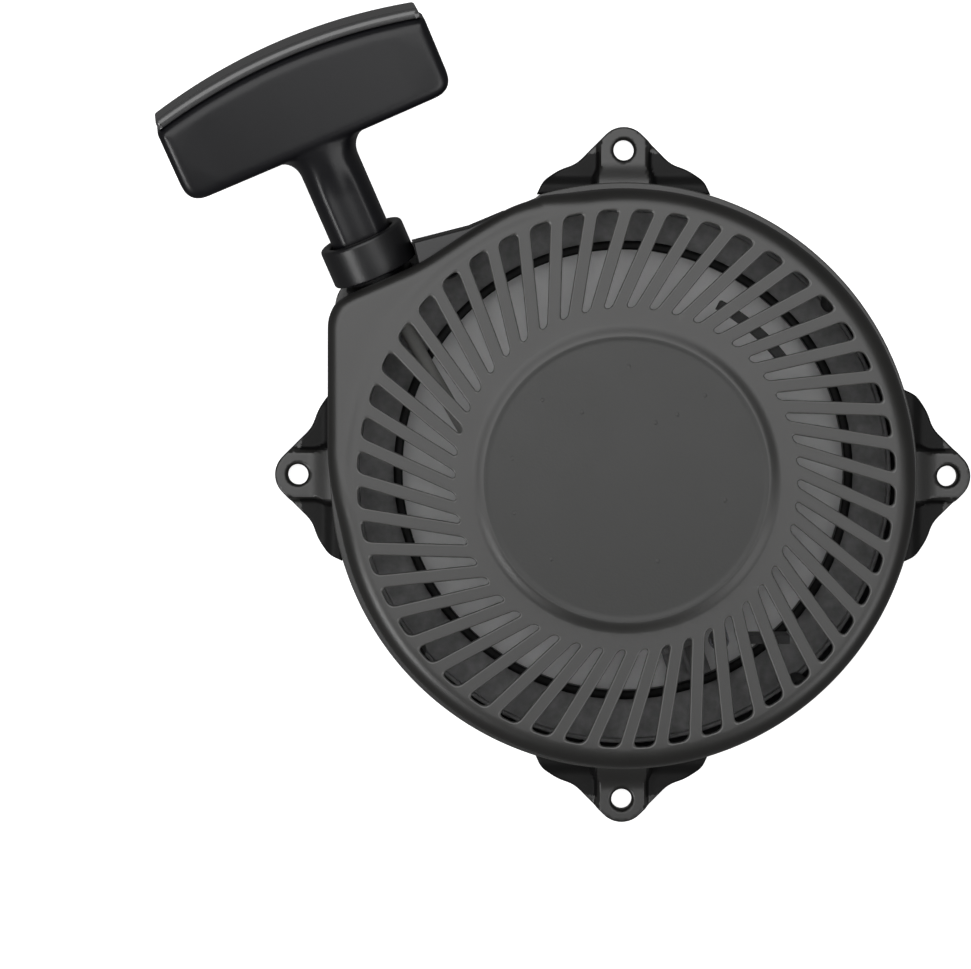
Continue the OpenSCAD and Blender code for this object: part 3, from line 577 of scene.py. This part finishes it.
def housing_skin():
    """The housing's shell: slotted face, shoulder, wall with its bead, rope corner and plateau."""
    s = Solid()
    # the slotted face, top and underside, one slot at a time
    top, low = sector(slot_outline(SLOT_EDGE[0][0])), sector(slot_outline())
    for i in range(SLOTS):
        turn = i * PITCH
        for (pts, faces), z, flip in ((top, FACE_Z, False), (low, UNDER_Z, True)):
            moved = [(*turned(p, turn), z) for p in pts]
            s.add(moved, [f[::-1] for f in faces] if flip else faces)
        rings = []
        for grow, drop in (*SLOT_EDGE, (0.0, FACE_Z - UNDER_Z)):
            rings.append([(*turned(p, turn + BAR_TURN), FACE_Z - drop) for p in slot_outline(grow)])
        s.grid(rings)

    # from the face out over the shoulder
    over = []
    corner, bare = IS_CORNER, 1 - IS_CORNER
    shoulder = SHOULDER * bare + CORNER_SHOULDER * corner
    flat_end = TOP_R * bare + (RIM_R - 0.15) * corner - shoulder
    dip = CORNER_DIP * corner
    for t in np.linspace(0, 1, 7):
        r = np.maximum(FLAT_R + (flat_end - FLAT_R) * t, FLAT_R)
        over.append(around(r, FACE_Z - dip * smooth_step(FLAT_R, 88.0, r)))
    over[0] = around(FLAT_R, FACE_Z)
    face_end = FACE_Z - dip * smooth_step(FLAT_R, 88.0, flat_end)
    for a in np.radians(np.linspace(0, 90, 11)[1:]):
        r = np.maximum(flat_end, FLAT_R) + shoulder * math.sin(a)
        over.append(around(r, face_end - shoulder * (1 - math.cos(a))))

    # down the wall, over the bead, to the mounting plane
    wall = [(TOP_R, 30), (TOP_R + 0.25, 20), (TOP_R + 0.45, 17.0), (TOP_R + 0.75, 16.45),
            (BEAD_R - 0.35, 16.35), (BEAD_R - 0.08, 16.1), (BEAD_R, 15.6), (BEAD_R, 14.8),
            (BEAD_R - 0.2, 14.3), (WALL_R + 0.1, 14.05), (WALL_R, 13.7), (WALL_R, 8), (WALL_R, 0.3),
            (WALL_R - 0.25, 0.0)]
    for r, z in wall:
        lean = RIM_R - (0.15 if z > 3 else 0.0) - (0.25 if z == 0 else 0)
        over.append(around(r * bare + lean * corner, z))

    # up inside, and round to the face's underside
    inner_wall = SKIRT_IN_R * bare + (RIM_R - 2.6) * corner
    inner_top = TOP_IN_R * bare + (RIM_R - 2.7) * corner
    for r, z in ((inner_wall + 0.25, 0.0), (inner_wall, 0.3), (inner_wall, 14), (inner_top, 16.4),
                 (inner_top, 38.2)):
        over.append(around(r, z))
    for a in np.radians(np.linspace(0, 90, 5)[1:]):
        r = inner_top - INNER_SHOULDER * (1 - math.cos(a))
        z = 38.6 + INNER_SHOULDER * math.sin(a) - dip * 0.6
        over.append(around(np.maximum(r, FLAT_R + 0.3), z))
    over.append(around(FLAT_R, UNDER_Z))
    s.grid(over, flip=True)

    # plateau above and below
    bead = [(PLATEAU_R, 0.0), (47.3, 0.06), (46.6, 0.22), (45.8, 0.50), (45.0, 0.80), (44.4, 0.95),
            (43.9, 1.0), (43.4, 0.96), (42.9, 0.86), (42.4, 0.80)]
    plateau = [(r, FACE_Z + rise) for r, rise in bead]
    plateau += [(r, dome_z(r)) for r in np.linspace(DOME_R, 0, 12)]
    s.grid([around(max(r, AXIS_R), z) for r, z in plateau])
    under = [(PLATEAU_R, UNDER_Z), (46.6, UNDER_Z), (43, UNDER_Z + 0.2), (42, 44.5), (20, 44.5),
             (AXIS_R, 44.5)]
    s.grid([around(r, z) for r, z in under], flip=True)
    shell = s.build("housing_shell", "housing_body", HOUSING, "housing_plastic", "housing",
                    angle=25, merge=0.01)

    # the disc is duller than the slotted face, and the slots' rounded edges and the bead's crest are painted
    # paler as a painted highlight
    shell.data.materials.append(DISC)
    shell.data.materials.append(EDGE_HIGHLIGHT)
    for face in shell.data.polygons:
        x, y, z = face.center / MM
        r = math.hypot(x, y)
        slot_edge = 48 < r < 83.35 and FACE_Z - 0.5 < z < FACE_Z - 0.02
        crest = 91.55 < r < 92.05 and 15.5 < z < 16.4
        if r < 43.7 and z > FACE_Z:
            face.material_index = 1
        elif slot_edge or crest:
            face.material_index = 2

    # the slotted face is dead flat up to the edges of its slots
    for edge in shell.data.edges:
        ends = [shell.data.vertices[i].co / MM for i in edge.vertices]
        if all(abs(e.z - FACE_Z) < 0.001 and 48.2 < math.hypot(e.x, e.y) < 83.3 for e in ends):
            edge.use_edge_sharp = True


def disc_marks():
    """Faint round marks of the mould on the disc."""
    marks = Solid()
    for r, a in MARKS:
        z = dome_z(r)
        spot = arc(polar(r, a), MARK_R, 0, 360, 16)[:-1]
        marks.prism(spot, z - 0.5, z + 0.04, top=0.02, bottom=0.0, seg=1)
    marks.build("disc_marks", "housing_body", MARK, "housing_plastic", angle=50)


def bar_line(turn):
    """The middle line of a bar, from the plateau out to the flat face's rim."""
    return [turned(turned(skew_point(r, SKEW), BAR_TURN), turn) for r in np.linspace(PLATEAU_R, FLAT_R, 14)]


def sector(hole):
    """One pitch of the slotted face with its slot left open. Its two long sides follow the bars' lines.

    The lines' ends are moved to the even angles of around(), where the next rings join on.
    """
    step = PITCH / STEPS_PER_SLOT
    left, right = bar_line(0), bar_line(PITCH)
    outer_turn = math.floor(math.degrees(math.atan2(left[-1][1], left[-1][0])) / step) * step
    inner_turn = math.floor(math.degrees(math.atan2(left[0][1], left[0][0])) / step) * step
    left[-1], right[-1] = polar(FLAT_R, outer_turn), polar(FLAT_R, outer_turn + PITCH)
    left[0], right[0] = polar(PLATEAU_R, inner_turn), polar(PLATEAU_R, inner_turn + PITCH)
    outer = [polar(FLAT_R, outer_turn + step * k) for k in range(1, STEPS_PER_SLOT)]
    inner = [polar(PLATEAU_R, inner_turn + step * k) for k in range(STEPS_PER_SLOT - 1, 0, -1)]
    outline = [tuple(p) for p in left + outer + right[::-1] + inner]
    return fill(outline, [[tuple(turned(p, BAR_TURN)) for p in hole]])


disc_marks()
housing_skin()


def ear_height(x, y):
    """Top of one ear: thin flange, raised pad with flared sides, ramp up to the wall."""
    half = 7.5 + 1.6 * smooth_step(97.5, 92.5, x)
    side = smooth_step(half + 1.1, half - 0.5, abs(y))
    end = smooth_step(9.3, 7.9, math.hypot(x - EAR_TIP_X, y)) if x > EAR_TIP_X else 1.0
    pad = 6.0 + smooth_step(99.5, 91.0, x) * 2.6
    low = 2.4 + 2.0 * smooth_step(95.0, 91.0, x)
    return low + (pad - low) * side * end


def ears():
    """The four ears with their bolt holes."""
    tip = arc((EAR_TIP_X, 0), EAR_TIP_R, -46, 46, 12)
    upper = list(EAR_FLANK)
    lower = [(x, -y) for x, y in upper[::-1]]
    outline = round_corners(lower + tip + upper, [0, 2, 3, 3, 3] + [0] * len(tip) + [3, 3, 3, 2, 0], 4)
    outline = resample([p for p in outline if p[0] > 88.5], 0.7)
    inner = [tuple(p) for p in inset(outline, 0.55)]
    hole = arc((EAR_HOLE_X, 0), EAR_HOLE_R, 0, 360, 40)[:-1]
    wide = arc((EAR_HOLE_X, 0), EAR_HOLE_R + 0.7, 0, 360, 40)[:-1]
    # points that carry the top's shape, clear of its edge and of the hole
    clear = [tuple(p) for p in inset(outline, 0.95)]
    grid = [(x, y) for x in np.arange(89, 110, 0.62) for y in np.arange(-27, 27.1, 0.62)]
    grid = [p for p in grid if inside(p, clear) and math.hypot(p[0] - EAR_HOLE_X, p[1]) > 4.3]
    for a in EAR_ANGLES:
        s = Solid()
        pts, faces = fill(inner, [wide], grid)
        s.add([(x, y, ear_height(x, y)) for x, y in pts], faces)
        rings = [[(x, y, ear_height(x, y)) for x, y in inner]]
        for d, drop in ((0.3, 0.12), (0.1, 0.4), (0.0, 0.85)):
            rings.append([(x, y, ear_height(*q) - drop) for (x, y), q in zip(inset(outline, d), inner)])
        rings.append([(x, y, 0.3) for x, y in outline])
        rings.append([(x, y, 0.0) for x, y in inset(outline, 0.3)])
        s.grid(rings, flip=True)
        top = [(x, y, ear_height(x, y)) for x, y in wide]
        s.grid([top, [(x, y, 5.35) for x, y in hole], [(x, y, 0) for x, y in hole]])
        low, faces = fill([p[:2] for p in rings[-1]], [hole])
        s.add([(x, y, 0) for x, y in low], [f[::-1] for f in faces])
        s.turn(turn_z(a))
        ear = s.build(f"ear_{a}", "housing_body", HOUSING, "housing_plastic", angle=60)
        # the recessed flanks beside the pad are matt, and darkened with the near-black painted shade
        ear.data.materials.append(PAINTED_SHADE)
        for face in ear.data.polygons:
            x, y = turned(np.array(face.center[:2]) / MM, -a)
            if abs(y) > 7.9 and x < 103.5 - 0.2 * abs(y) and face.center[2] / MM > 1.5:
                face.material_index = 1


ears()


def pulley_well():
    """The wall round the pulley, twelve-sided outside, with gaps for the rope and the spring's end."""
    well = Solid()
    side = 30
    corner_r = WELL_FLAT_R / math.cos(math.radians(side / 2))
    gon = [polar(corner_r, WELL_TURN + side * k) for k in range(360 // side)]
    bore = [tuple(polar(WELL_R, 360 * k / 96)) for k in range(96)]
    # (from, to, the gap's two angles)
    for z0, z1, gap in ((12.5, 14.9, None), (14.9, 26.5, (158, 183)), (26.5, 29.6, None),
                        (29.6, 41.6, (-68, -54)), (41.6, ROOT_Z, None)):
        if not gap:
            low = 0.3 if z0 < 13 else 0.0
            well.prism(gon, z0, z1, top=0.0, bottom=low, seg=1, holes=[bore])
            continue
        outer = []
        for a in np.linspace(gap[1], gap[0] + 360, 120):
            from_flat = (a - WELL_TURN) % side - side / 2
            outer.append(tuple(polar(WELL_FLAT_R / math.cos(math.radians(from_flat)), a)))
        inner = [tuple(polar(WELL_R, a)) for a in np.linspace(gap[0] + 360, gap[1], 120)]
        well.prism(outer + inner, z0, z1, top=0.0, bottom=0.0, seg=1)
    well.build("pulley_well", "housing_body", HOUSING, "housing_plastic", angle=30)


def face_ribs():
    """The ribs behind the bars, and the short curved rib across them."""
    ribs = Solid()
    start = math.sqrt(WELL_FLAT_R ** 2 - SKEW ** 2) + 0.3
    rib = box_outline(start, SKEW - 0.9, start + 42.0, SKEW + 0.9)
    for i in range(RIBS):
        first = len(ribs.v)
        ribs.prism(rib, 26, ROOT_Z, top=0.0, bottom=0.35)
        ribs.turn(turn_z(BAR_TURN + PITCH + RIB_STEP * i), first)
    curved = arc((0, 0), 62.3, 37, 62, 16) + arc((0, 0), 59.3, 62, 37, 16)
    ribs.prism(curved, 28, ROOT_Z, top=0.0, bottom=0.35)
    # the ribs are drawn in the near-black painted shade
    ribs.build("face_ribs", "housing_body", PAINTED_SHADE, "housing_plastic", angle=30)


def posts():
    """The ring's posts, the spring's anchor post, the small walls by it and by the rope, the centre post."""
    s = Solid()
    # the ring's posts have a thin top, so that they stay inside the shoulder
    tall = [(0, 9.4), (3.0, 9.4), (3.4, 9.8), (3.4, 40.6), (2.6, 41.4), (2.6, ROOT_Z), (0, ROOT_Z)]
    for a in POST_ANGLES:
        s.lathe(tall, 32, polar(POST_RING_R, a))
    s.lathe([(0, 22), (2.1, 22), (2.4, 22.3), (2.4, ROOT_Z), (0, ROOT_Z)], 32, (29, -50))
    s.prism(box_outline(36, -50.8, 50.6, -48.2), 22, ROOT_Z, top=0.0, bottom=0.4)
    s.prism(box_outline(-76.4, 37, -74.6, 49), 10, ROOT_Z, top=0.0, bottom=0.4)
    s.lathe([(0, 9.6), (2.5, 9.6), (6.6, 9.6), (7, 10), (7, 44.4), (0, 44.4)], 64)
    # the posts are drawn in the near-black painted shade
    s.build("posts", "housing_body", PAINTED_SHADE, "housing_plastic", angle=30)


def rope_corner():
    """The ledge at the corner's foot, and the shoulder beside the rope's outlet with a thin lip round it."""
    ledge = [(-91.2, 47), (-91.6, 48), (-90.6, 57), (-83, 66.5), (-66, 74), (-47.7, 78.2), (-37, 83.8),
             (-30, 84), (-40, 60)]
    s = Solid()
    s.prism(round_corners(ledge, [0, 1, 3, 5, 5, 5, 3, 0, 0], 4), 0, 2.5, top=0.5, bottom=0.2)
    s.build("corner_ledge", "housing_body", HOUSING, "housing_plastic", angle=40)
    wedge = [(-65.6, 72.5), (-63, 62), (-47, 72), (-36, 80), (-38.5, 81.9), (-48.9, 77.0)]
    s = Solid()
    s.prism(wedge, 0.3, 38.5, top=0.7, bottom=0.2)
    # the shoulder takes the collar's near-black plastic, a painted shade darker than the housing it belongs
    # to
    s.build("outlet_shoulder", "housing_body", COLLAR, "housing_plastic", angle=40)
    rim = [(-66.3, 73.5), (-63, 62), (-47, 72), (-36, 80), (-38.0, 82.6), (-48.9, 78.0)]
    s = Solid()
    s.prism(rim, 0.15, 37.2, top=0.3, bottom=0.2)
    # the outlet's lip is drawn in the near-black painted shade
    s.build("outlet_lip", "housing_body", PAINTED_SHADE, "housing_plastic", angle=40)


pulley_well()
face_ribs()
posts()
rope_corner()


# ---------------------------------------------------------------- air guide ring

def air_ring():
    """The flat ring with its raised lip, rims, bosses on the posts and the tab below, on a thin seat."""
    outer = [tuple(polar(RING_R, 360 * k / ROUND)) for k in range(ROUND)]
    hole = [(x, y + RING_SHIFT) for x, y in (polar(RING_IN_R, 360 * k / ROUND) for k in range(ROUND))]
    s = Solid()
    s.prism(outer, 3.2, 5.4, top=0.25, bottom=0.5, seg=3, holes=[hole])
    seat = Solid().lathe([(84.75, 2.2), (89.0, 2.2), (89.0, 3.0), (84.75, 3.0)], ROUND)
    # the seat fills the gap beside the ring with the near-black painted shade
    seat.build("ring_seat", "housing_body", PAINTED_SHADE, "housing_plastic", angle=30)
    section = [(RING_IN_R, 3.6), (72.2, 4.0), (72.2, 10.2), (71.8, 10.6), (71.2, 10.8), (70.0, 10.8),
               (RING_IN_R, 10.4)]
    lip = Solid().lathe(section, ROUND, (0, RING_SHIFT))
    # the ring's lip is drawn in the near-black painted shade
    lip.build("guide_ring_lip", "housing_body", PAINTED_SHADE, "ring_plastic", angle=30)
    s.lathe([(83.0, 4.0), (84.4, 4.0), (84.4, 8.9), (84.1, 9.2), (83.3, 9.2), (83.0, 8.9)], ROUND)
    boss = [(0, 6.8), (3.2, 6.8), (3.2, 8.8), (2.9, 9.1), (1.8, 9.1), (1.8, 17.8), (0, 17.8)]
    for a in POST_ANGLES:
        s.lathe(boss, 32, polar(POST_RING_R, a))
    # the tab, its upright that keeps the spring's hook on its post, and the rib between them
    first = len(s.v)
    s.prism(box_outline(55, -6.5, 70.5, 6.5, 1.2), 3.6, 5.8)
    s.prism(box_outline(55, -6, 57, 6, 0.5), 4.0, 18, top=0.4, bottom=0.0)
    s.prism(box_outline(57, -0.8, 66, 0.8), 5.4, 8.4, bottom=0.0)
    s.turn(turn_z(-71), first)
    ring = s.build("guide_ring", "housing_body", RING, "ring_plastic", "air_guide_ring", angle=30)
    # the engine side is black, and the side behind the slots is a pale mottled grey
    ring.data.materials.append(HOUSING)
    for face in ring.data.polygons:
        if face.normal.z < -0.5 or face.center[2] / MM < 3.8:
            face.material_index = 1


air_ring()


# ---------------------------------------------------------------- rope outlet and handle

# centre of the collar's mouth, the rope's direction in plan and its lean out of the ears' plane
MOUTH = (-82.4, 75.2, 27.2)
DIR = 113.5
TILT = 12.0
OUT = Vector((math.cos(math.radians(TILT)) * math.cos(math.radians(DIR)),
              math.cos(math.radians(TILT)) * math.sin(math.radians(DIR)),
              math.sin(math.radians(TILT))))
# what is drawn along +Z from nought stands on the mouth and points along the rope
ON_AXIS = Matrix.Translation(MOUTH) @ turn_z(DIR) @ Matrix.Rotation(math.radians(90 - TILT), 4, "Y")
# a plate drawn across (x) and along (y) the handle, thick from front to back
FACING = Matrix(((0, 0, 1, 0), (1, 0, 0, 0), (0, 1, 0, 0), (0, 0, 0, 1)))

# T bar: length, thickness, its lower edge above the mouth, height at its ends, rise of the arch; cap and stem
GRIP_LEN = 89.3
GRIP_T = 23.0
BAR_LOW = 31.0
END_H = 27.9
ARCH = 5.5
CAP_H = 3.4
STEM_R = 9.5
HALF = GRIP_LEN / 2


def on_rope(distance):
    """Point on the rope's line at this distance out of the mouth."""
    return np.array(MOUTH) + np.array(OUT) * distance


def rope_outlet():
    """The collar that the handle seats in, with the rope's eyelet inside it, and the boss that holds it."""
    s = Solid()
    eyelet = [(3.2, -21.5), (4.8, -23.5), (8.0, -23.5), (9.3, -22.6), (8.4, -22.3), (8.4, -12.0),
              (3.5, -11.2), (3.2, -10.4)]
    s.lathe(eyelet, 96)
    collar = [(8.0, -12.3), (12.9, -12.3), (13.4, -12.1), (13.6, -11.6), (13.6, -1.1), (13.45, -0.5),
              (13.1, -0.12), (12.6, 0.0), (11.4, 0.0), (10.9, -0.15), (10.55, -0.6), (10.4, -1.2),
              (10.4, -7.6), (10.0, -8.0), (4.6, -8.4), (3.4, -9.6), (3.2, -10.6), (3.2, -12.0)]
    s.lathe(collar, 96)
    s.turn(ON_AXIS)
    s.build("rope_cup", "housing_body", COLLAR, "handle_plastic", "rope_guide", angle=40)
    boss = Solid().lathe([(8.5, -22), (11.0, -22), (11.0, -14.6), (10.7, -14.3), (8.5, -14.3)], 64)
    boss.turn(ON_AXIS)
    # the boss under the collar is drawn in the near-black painted shade
    boss.build("outlet_boss", "housing_body", PAINTED_SHADE, "housing_plastic", angle=40)


rope_outlet()


def bar_top(y):
    """Height of the arched top at this place along the bar."""
    return BAR_LOW + END_H + ARCH * (1 - (y / HALF) ** 2)


def crown(solid):
    """Thins a plate towards its ends and edges, so that its front and back are gently domed."""
    mid = BAR_LOW + 16
    solid.v = [(x, y, z * (1 - 0.17 * (x / HALF) ** 2) * (1 - 0.09 * ((y - mid) / 17) ** 2))
               for x, y, z in solid.v]


def melt(solid, name, voxel, rounds):
    """One smooth closed surface round overlapping solids, as a mould would round them together."""
    mesh = bpy.data.meshes.new(name)
    mesh.from_pydata(solid.v, [], solid.f)
    obj = bpy.data.objects.new(name, mesh)
    bpy.context.scene.collection.objects.link(obj)
    skin = obj.modifiers.new("remesh", "REMESH")
    skin.mode = "VOXEL"
    skin.voxel_size = voxel
    skin.adaptivity = 0
    soften = obj.modifiers.new("smooth", "SMOOTH")
    soften.factor = 0.5
    soften.iterations = rounds
    graph = bpy.context.evaluated_depsgraph_get()
    done = bpy.data.meshes.new_from_object(obj.evaluated_get(graph))
    out = Solid().add([v.co for v in done.vertices], [list(p.vertices) for p in done.polygons])
    bpy.data.objects.remove(obj)
    return out


def handle_stem():
    """The stem: round, with a broad hollow in its front and back that runs out into the bar."""
    rings = []
    for w in np.arange(-7, 45.1, 1.0):
        fade = smooth_step(26, 14, w)
        into_bar = np.clip((w - BAR_LOW + 7.0) / 7.0, 0, 1)
        flare = 7.0 * (1 - math.sqrt(1 - into_bar ** 2))
        radius = STEM_R - 0.6 * (1 - smooth_step(-7, -6, w))
        ring = []
        for k in range(96):
            a = 2 * math.pi * k / 96
            depth, across = math.cos(a) * radius, math.sin(a) * radius
            groove = 1.9 * math.exp(-(across / 4.4) ** 4) * (0.35 + 0.65 * fade)
            depth -= math.copysign(min(groove, abs(depth) * 0.9), depth)
            across *= 1 + flare / STEM_R
            depth *= 1 + 0.15 * smooth_step(20, 34, w)
            ring.append((depth, across, w))
        rings.append(ring)
    stem = Solid().grid(rings)
    stem.cap_ends(rings)
    return stem


def grip():
    """The T bar and its stem, melted into one."""
    s = Solid()
    places = [HALF * (1 - k / 16) for k in range(33)]
    low = [(-HALF + 0.2, BAR_LOW), (-STEM_R - 1, BAR_LOW), (STEM_R + 1, BAR_LOW), (HALF - 0.2, BAR_LOW)]
    high = [(y, bar_top(y) - CAP_H) for y in places]
    radii = [6.5, 0, 0, 6.5] + [0.9] + [0] * 31 + [0.9]
    outline = resample(round_corners(low + high, radii, 8), 1.6)
    s.prism(outline, -GRIP_T / 2, GRIP_T / 2, top=3.2, bottom=3.2, seg=6)
    crown(s)
    s.turn(FACING)
    stem = handle_stem()
    s.add(stem.v, stem.f)
    out = melt(s, "grip_raw", 0.55, 8)
    out.turn(ON_AXIS)
    out.build("handle_body_shell", "handle_body", HANDLE, "handle_plastic", "handle_grip", angle=80)


def cap():
    """The strip along the bar's arched top, a little narrower than the bar."""
    margin = 0.9
    side = HALF - margin
    n = 40
    under = [(x, bar_top(x) - CAP_H + 0.1) for x in np.linspace(-side, side, n)]
    over = [(x, bar_top(x)) for x in np.linspace(side, -side, n)]
    radii = [0.4] + [0] * (n - 2) + [0.4, 1.6] + [0] * (n - 2) + [1.6]
    s = Solid()
    s.prism(round_corners(under + over, radii, 5), -GRIP_T / 2 + margin, GRIP_T / 2 - margin,
            top=1.5, bottom=1.5, seg=5)
    crown(s)
    s.turn(ON_AXIS @ FACING)
    s.build("handle_cap_strip", "handle_body", CAP, "handle_plastic", "handle_cap", angle=40)


grip()
cap()


# ---------------------------------------------------------------- rope

# the rope as drawn, its half thickness in CAD, and the outside of the winding
ROPE_R = 2.2
ROPE_HALF = 2.25
COIL_R = 38.0
# the rope's line stays up to the first of these distances out of the mouth, and rides beyond the second
STAYS = -11.9
RIDES = -7.1


def rope():
    """The rope: turns on the pulley, the stretch to the outlet, and the length that the handle draws out."""
    low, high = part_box("rope_coil")
    z0, z1 = low[2] / MM, high[2] / MM
    line = COIL_R - ROPE_HALF
    turns_z = (z0 + ROPE_HALF, z1 - ROPE_HALF - 0.5)
    coil = Solid()
    coil.lathe([(24.6, z0), (line - 0.6, z0 + 0.2), (line - 0.6, z1 - 0.2), (24.6, z1)], 96)
    for z in turns_z:
        coil.tube([(*polar(line, 360 * k / 120), z) for k in range(120)], ROPE_R, closed=True)
    coil.build("rope_turns", "pulley_body", ROPE, "rope_fibre", "rope_coil", angle=40)

    # leaves the upper turn on a tangent, clear of the pulley's winding, for the eyelet
    inlet = on_rope(-21)
    reach = math.hypot(inlet[0], inlet[1])
    turn = math.degrees(math.atan2(inlet[1], inlet[0])) + math.degrees(math.acos(line / reach))
    leave = np.array([*polar(line, turn), turns_z[1]])
    clear = math.sqrt((COIL_R + 2.75) ** 2 - line ** 2) / np.linalg.norm(inlet - leave)
    run = [leave + (inlet - leave) * t for t in np.linspace(clear, 1, 30)]
    run += [on_rope(d) for d in np.linspace(-20, -15.5, 10)]
    Solid().tube(run, ROPE_R).build("rope_inside", "housing_body", ROPE, "rope_fibre", "rope_run", angle=60)

    # close rings between what stays and what rides, as they are what draws out
    steps = [*np.linspace(-15, -12, 7), *np.linspace(STAYS, RIDES, 130), *np.linspace(-6.8, 41, 20)]
    lead = Solid().tube([on_rope(d) for d in steps], ROPE_R)
    lead = lead.build("rope_drawn", None, ROPE, "rope_fibre", "rope_lead", angle=60)
    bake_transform(lead)


rope()


# ---------------------------------------------------------------- pieces kept from CAD

# moulded and stamped pieces whose CAD solids have bare edges, and how much these are broken
BEVELS = {"pulley": 0.3, "friction_plate": 0.35, "pawl_a": 0.3, "pawl_b": 0.3, "centre_screw": 0.25,
          "thrust_washer": 0.12, "knot_washer": 0.15, "spring_cover": 0.15}
FINISHES = {"spring_cover": ZINC, "recoil_spring": STEEL, "centre_sleeve": ZINC, "thrust_washer": ZINC,
            "centre_screw": ZINC, "pulley": PULLEY, "pulley_knot": ROPE, "pawl_springs": STEEL,
            "friction_plate": PLATE, "pawl_a": PAWL, "pawl_b": PAWL, "handle_knot": ROPE, "knot_washer": ZINC}

for name, width in BEVELS.items():
    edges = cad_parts[name].modifiers.new("edges", "BEVEL")
    edges.width = width * MM
    edges.segments = 2
    edges.limit_method = "ANGLE"
    edges.angle_limit = math.radians(40)
    edges.harden_normals = True

for name, finish in FINISHES.items():
    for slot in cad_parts[name].material_slots:
        slot.material = finish


# ---------------------------------------------------------------- camera, light and floor

# the camera looks straight down at a point left of the object's axis, from a little further up the picture
TARGET = Vector((-0.0433, -0.0031, 0.003))
CAMERA = Vector((-0.0433, 0.0439, 1.5))
CAMERA_ROLL = 0.15
LENS = 175.6
SENSOR = 36


def aim(camera):
    """Puts the camera in its place, looking at TARGET with the picture's top towards +Y."""
    z = (CAMERA - TARGET).normalized()
    x = Vector((0, 1, 0)).cross(z).normalized()
    facing = Matrix((x, z.cross(x), z)).transposed().to_4x4()
    camera.matrix_world = Matrix.Translation(CAMERA) @ facing @ turn_z(CAMERA_ROLL)


camera = bpy.data.objects.new("camera", bpy.data.cameras.new("camera"))
bpy.context.scene.collection.objects.link(camera)
bpy.context.scene.camera = camera
camera.data.lens = LENS
camera.data.sensor_width = SENSOR
camera.data.clip_end = 50
aim(camera)


def area_light(name, place, target, size, power):
    """A rectangular white light at place, facing target. Sizes are in metres and the power is in watts."""
    data = bpy.data.lights.new(name, "AREA")
    data.shape = "RECTANGLE"
    data.size, data.size_y = size
    data.energy = power
    light = bpy.data.objects.new(name, data)
    bpy.context.scene.collection.objects.link(light)
    light.location = place
    light.visible_camera = False
    light.rotation_euler = (Vector(target) - Vector(place)).to_track_quat("-Z", "Y").to_euler()


# a broad panel overhead, and two smaller lights beyond the picture's lower corners
area_light("panel", (-0.20, 0.37, 0.95), (-0.20, 0.37, 0), (1.3, 1.1), 9.5)
area_light("right", (0.95, -0.62, 1.15), (0, 0, 0), (0.75, 0.75), 5)
area_light("left", (-0.85, -0.60, 0.85), (0, 0, 0), (0.4, 0.4), 5)

world = bpy.data.worlds.new("studio")
bpy.context.scene.world = world
world.use_nodes = True
sky = world.node_tree.nodes["Background"]
sky.inputs["Color"].default_value = (1, 1, 1, 1)
sky.inputs["Strength"].default_value = 0.12

# pale floor that glows outside GLOW_R and is dim under the object's round body, inside DIM_R (metres)
DIM_R = 0.089
GLOW_R = 0.0915
FLOOR_R = 12
FLOOR_Z = -0.0004
floor_material = bpy.data.materials.new("floor")
floor_material.use_nodes = True
floor_nodes, floor_links = floor_material.node_tree.nodes, floor_material.node_tree.links
floor_shader = floor_nodes["Principled BSDF"]
floor_shader.inputs["Base Color"].default_value = (0.8, 0.8, 0.8, 1)
floor_shader.inputs["Roughness"].default_value = 0.9
floor_shader.inputs["Specular IOR Level"].default_value = 0.1
floor_shader.inputs["Emission Color"].default_value = (1, 1, 1, 1)
floor_place = floor_nodes.new("ShaderNodeTexCoord")
floor_far = floor_nodes.new("ShaderNodeVectorMath")
floor_far.operation = "LENGTH"
floor_glow = floor_nodes.new("ShaderNodeMapRange")
floor_glow.inputs["From Min"].default_value = DIM_R
floor_glow.inputs["From Max"].default_value = GLOW_R
floor_glow.inputs["To Min"].default_value = 0.03
floor_glow.inputs["To Max"].default_value = 0.85
floor_links.new(floor_place.outputs["Object"], floor_far.inputs[0])
floor_links.new(floor_far.outputs["Value"], floor_glow.inputs["Value"])
floor_links.new(floor_glow.outputs["Result"], floor_shader.inputs["Emission Strength"])
floor_mesh = bpy.data.meshes.new("floor")
floor_mesh.from_pydata([(*polar(FLOOR_R, 360 * k / 64), FLOOR_Z) for k in range(64)], [], [list(range(64))])
floor_mesh.materials.append(floor_material)
floor = bpy.data.objects.new("floor", floor_mesh)
bpy.context.scene.collection.objects.link(floor)
floor.visible_glossy = False
floor.visible_diffuse = False

bpy.context.scene.view_settings.view_transform = "Standard"
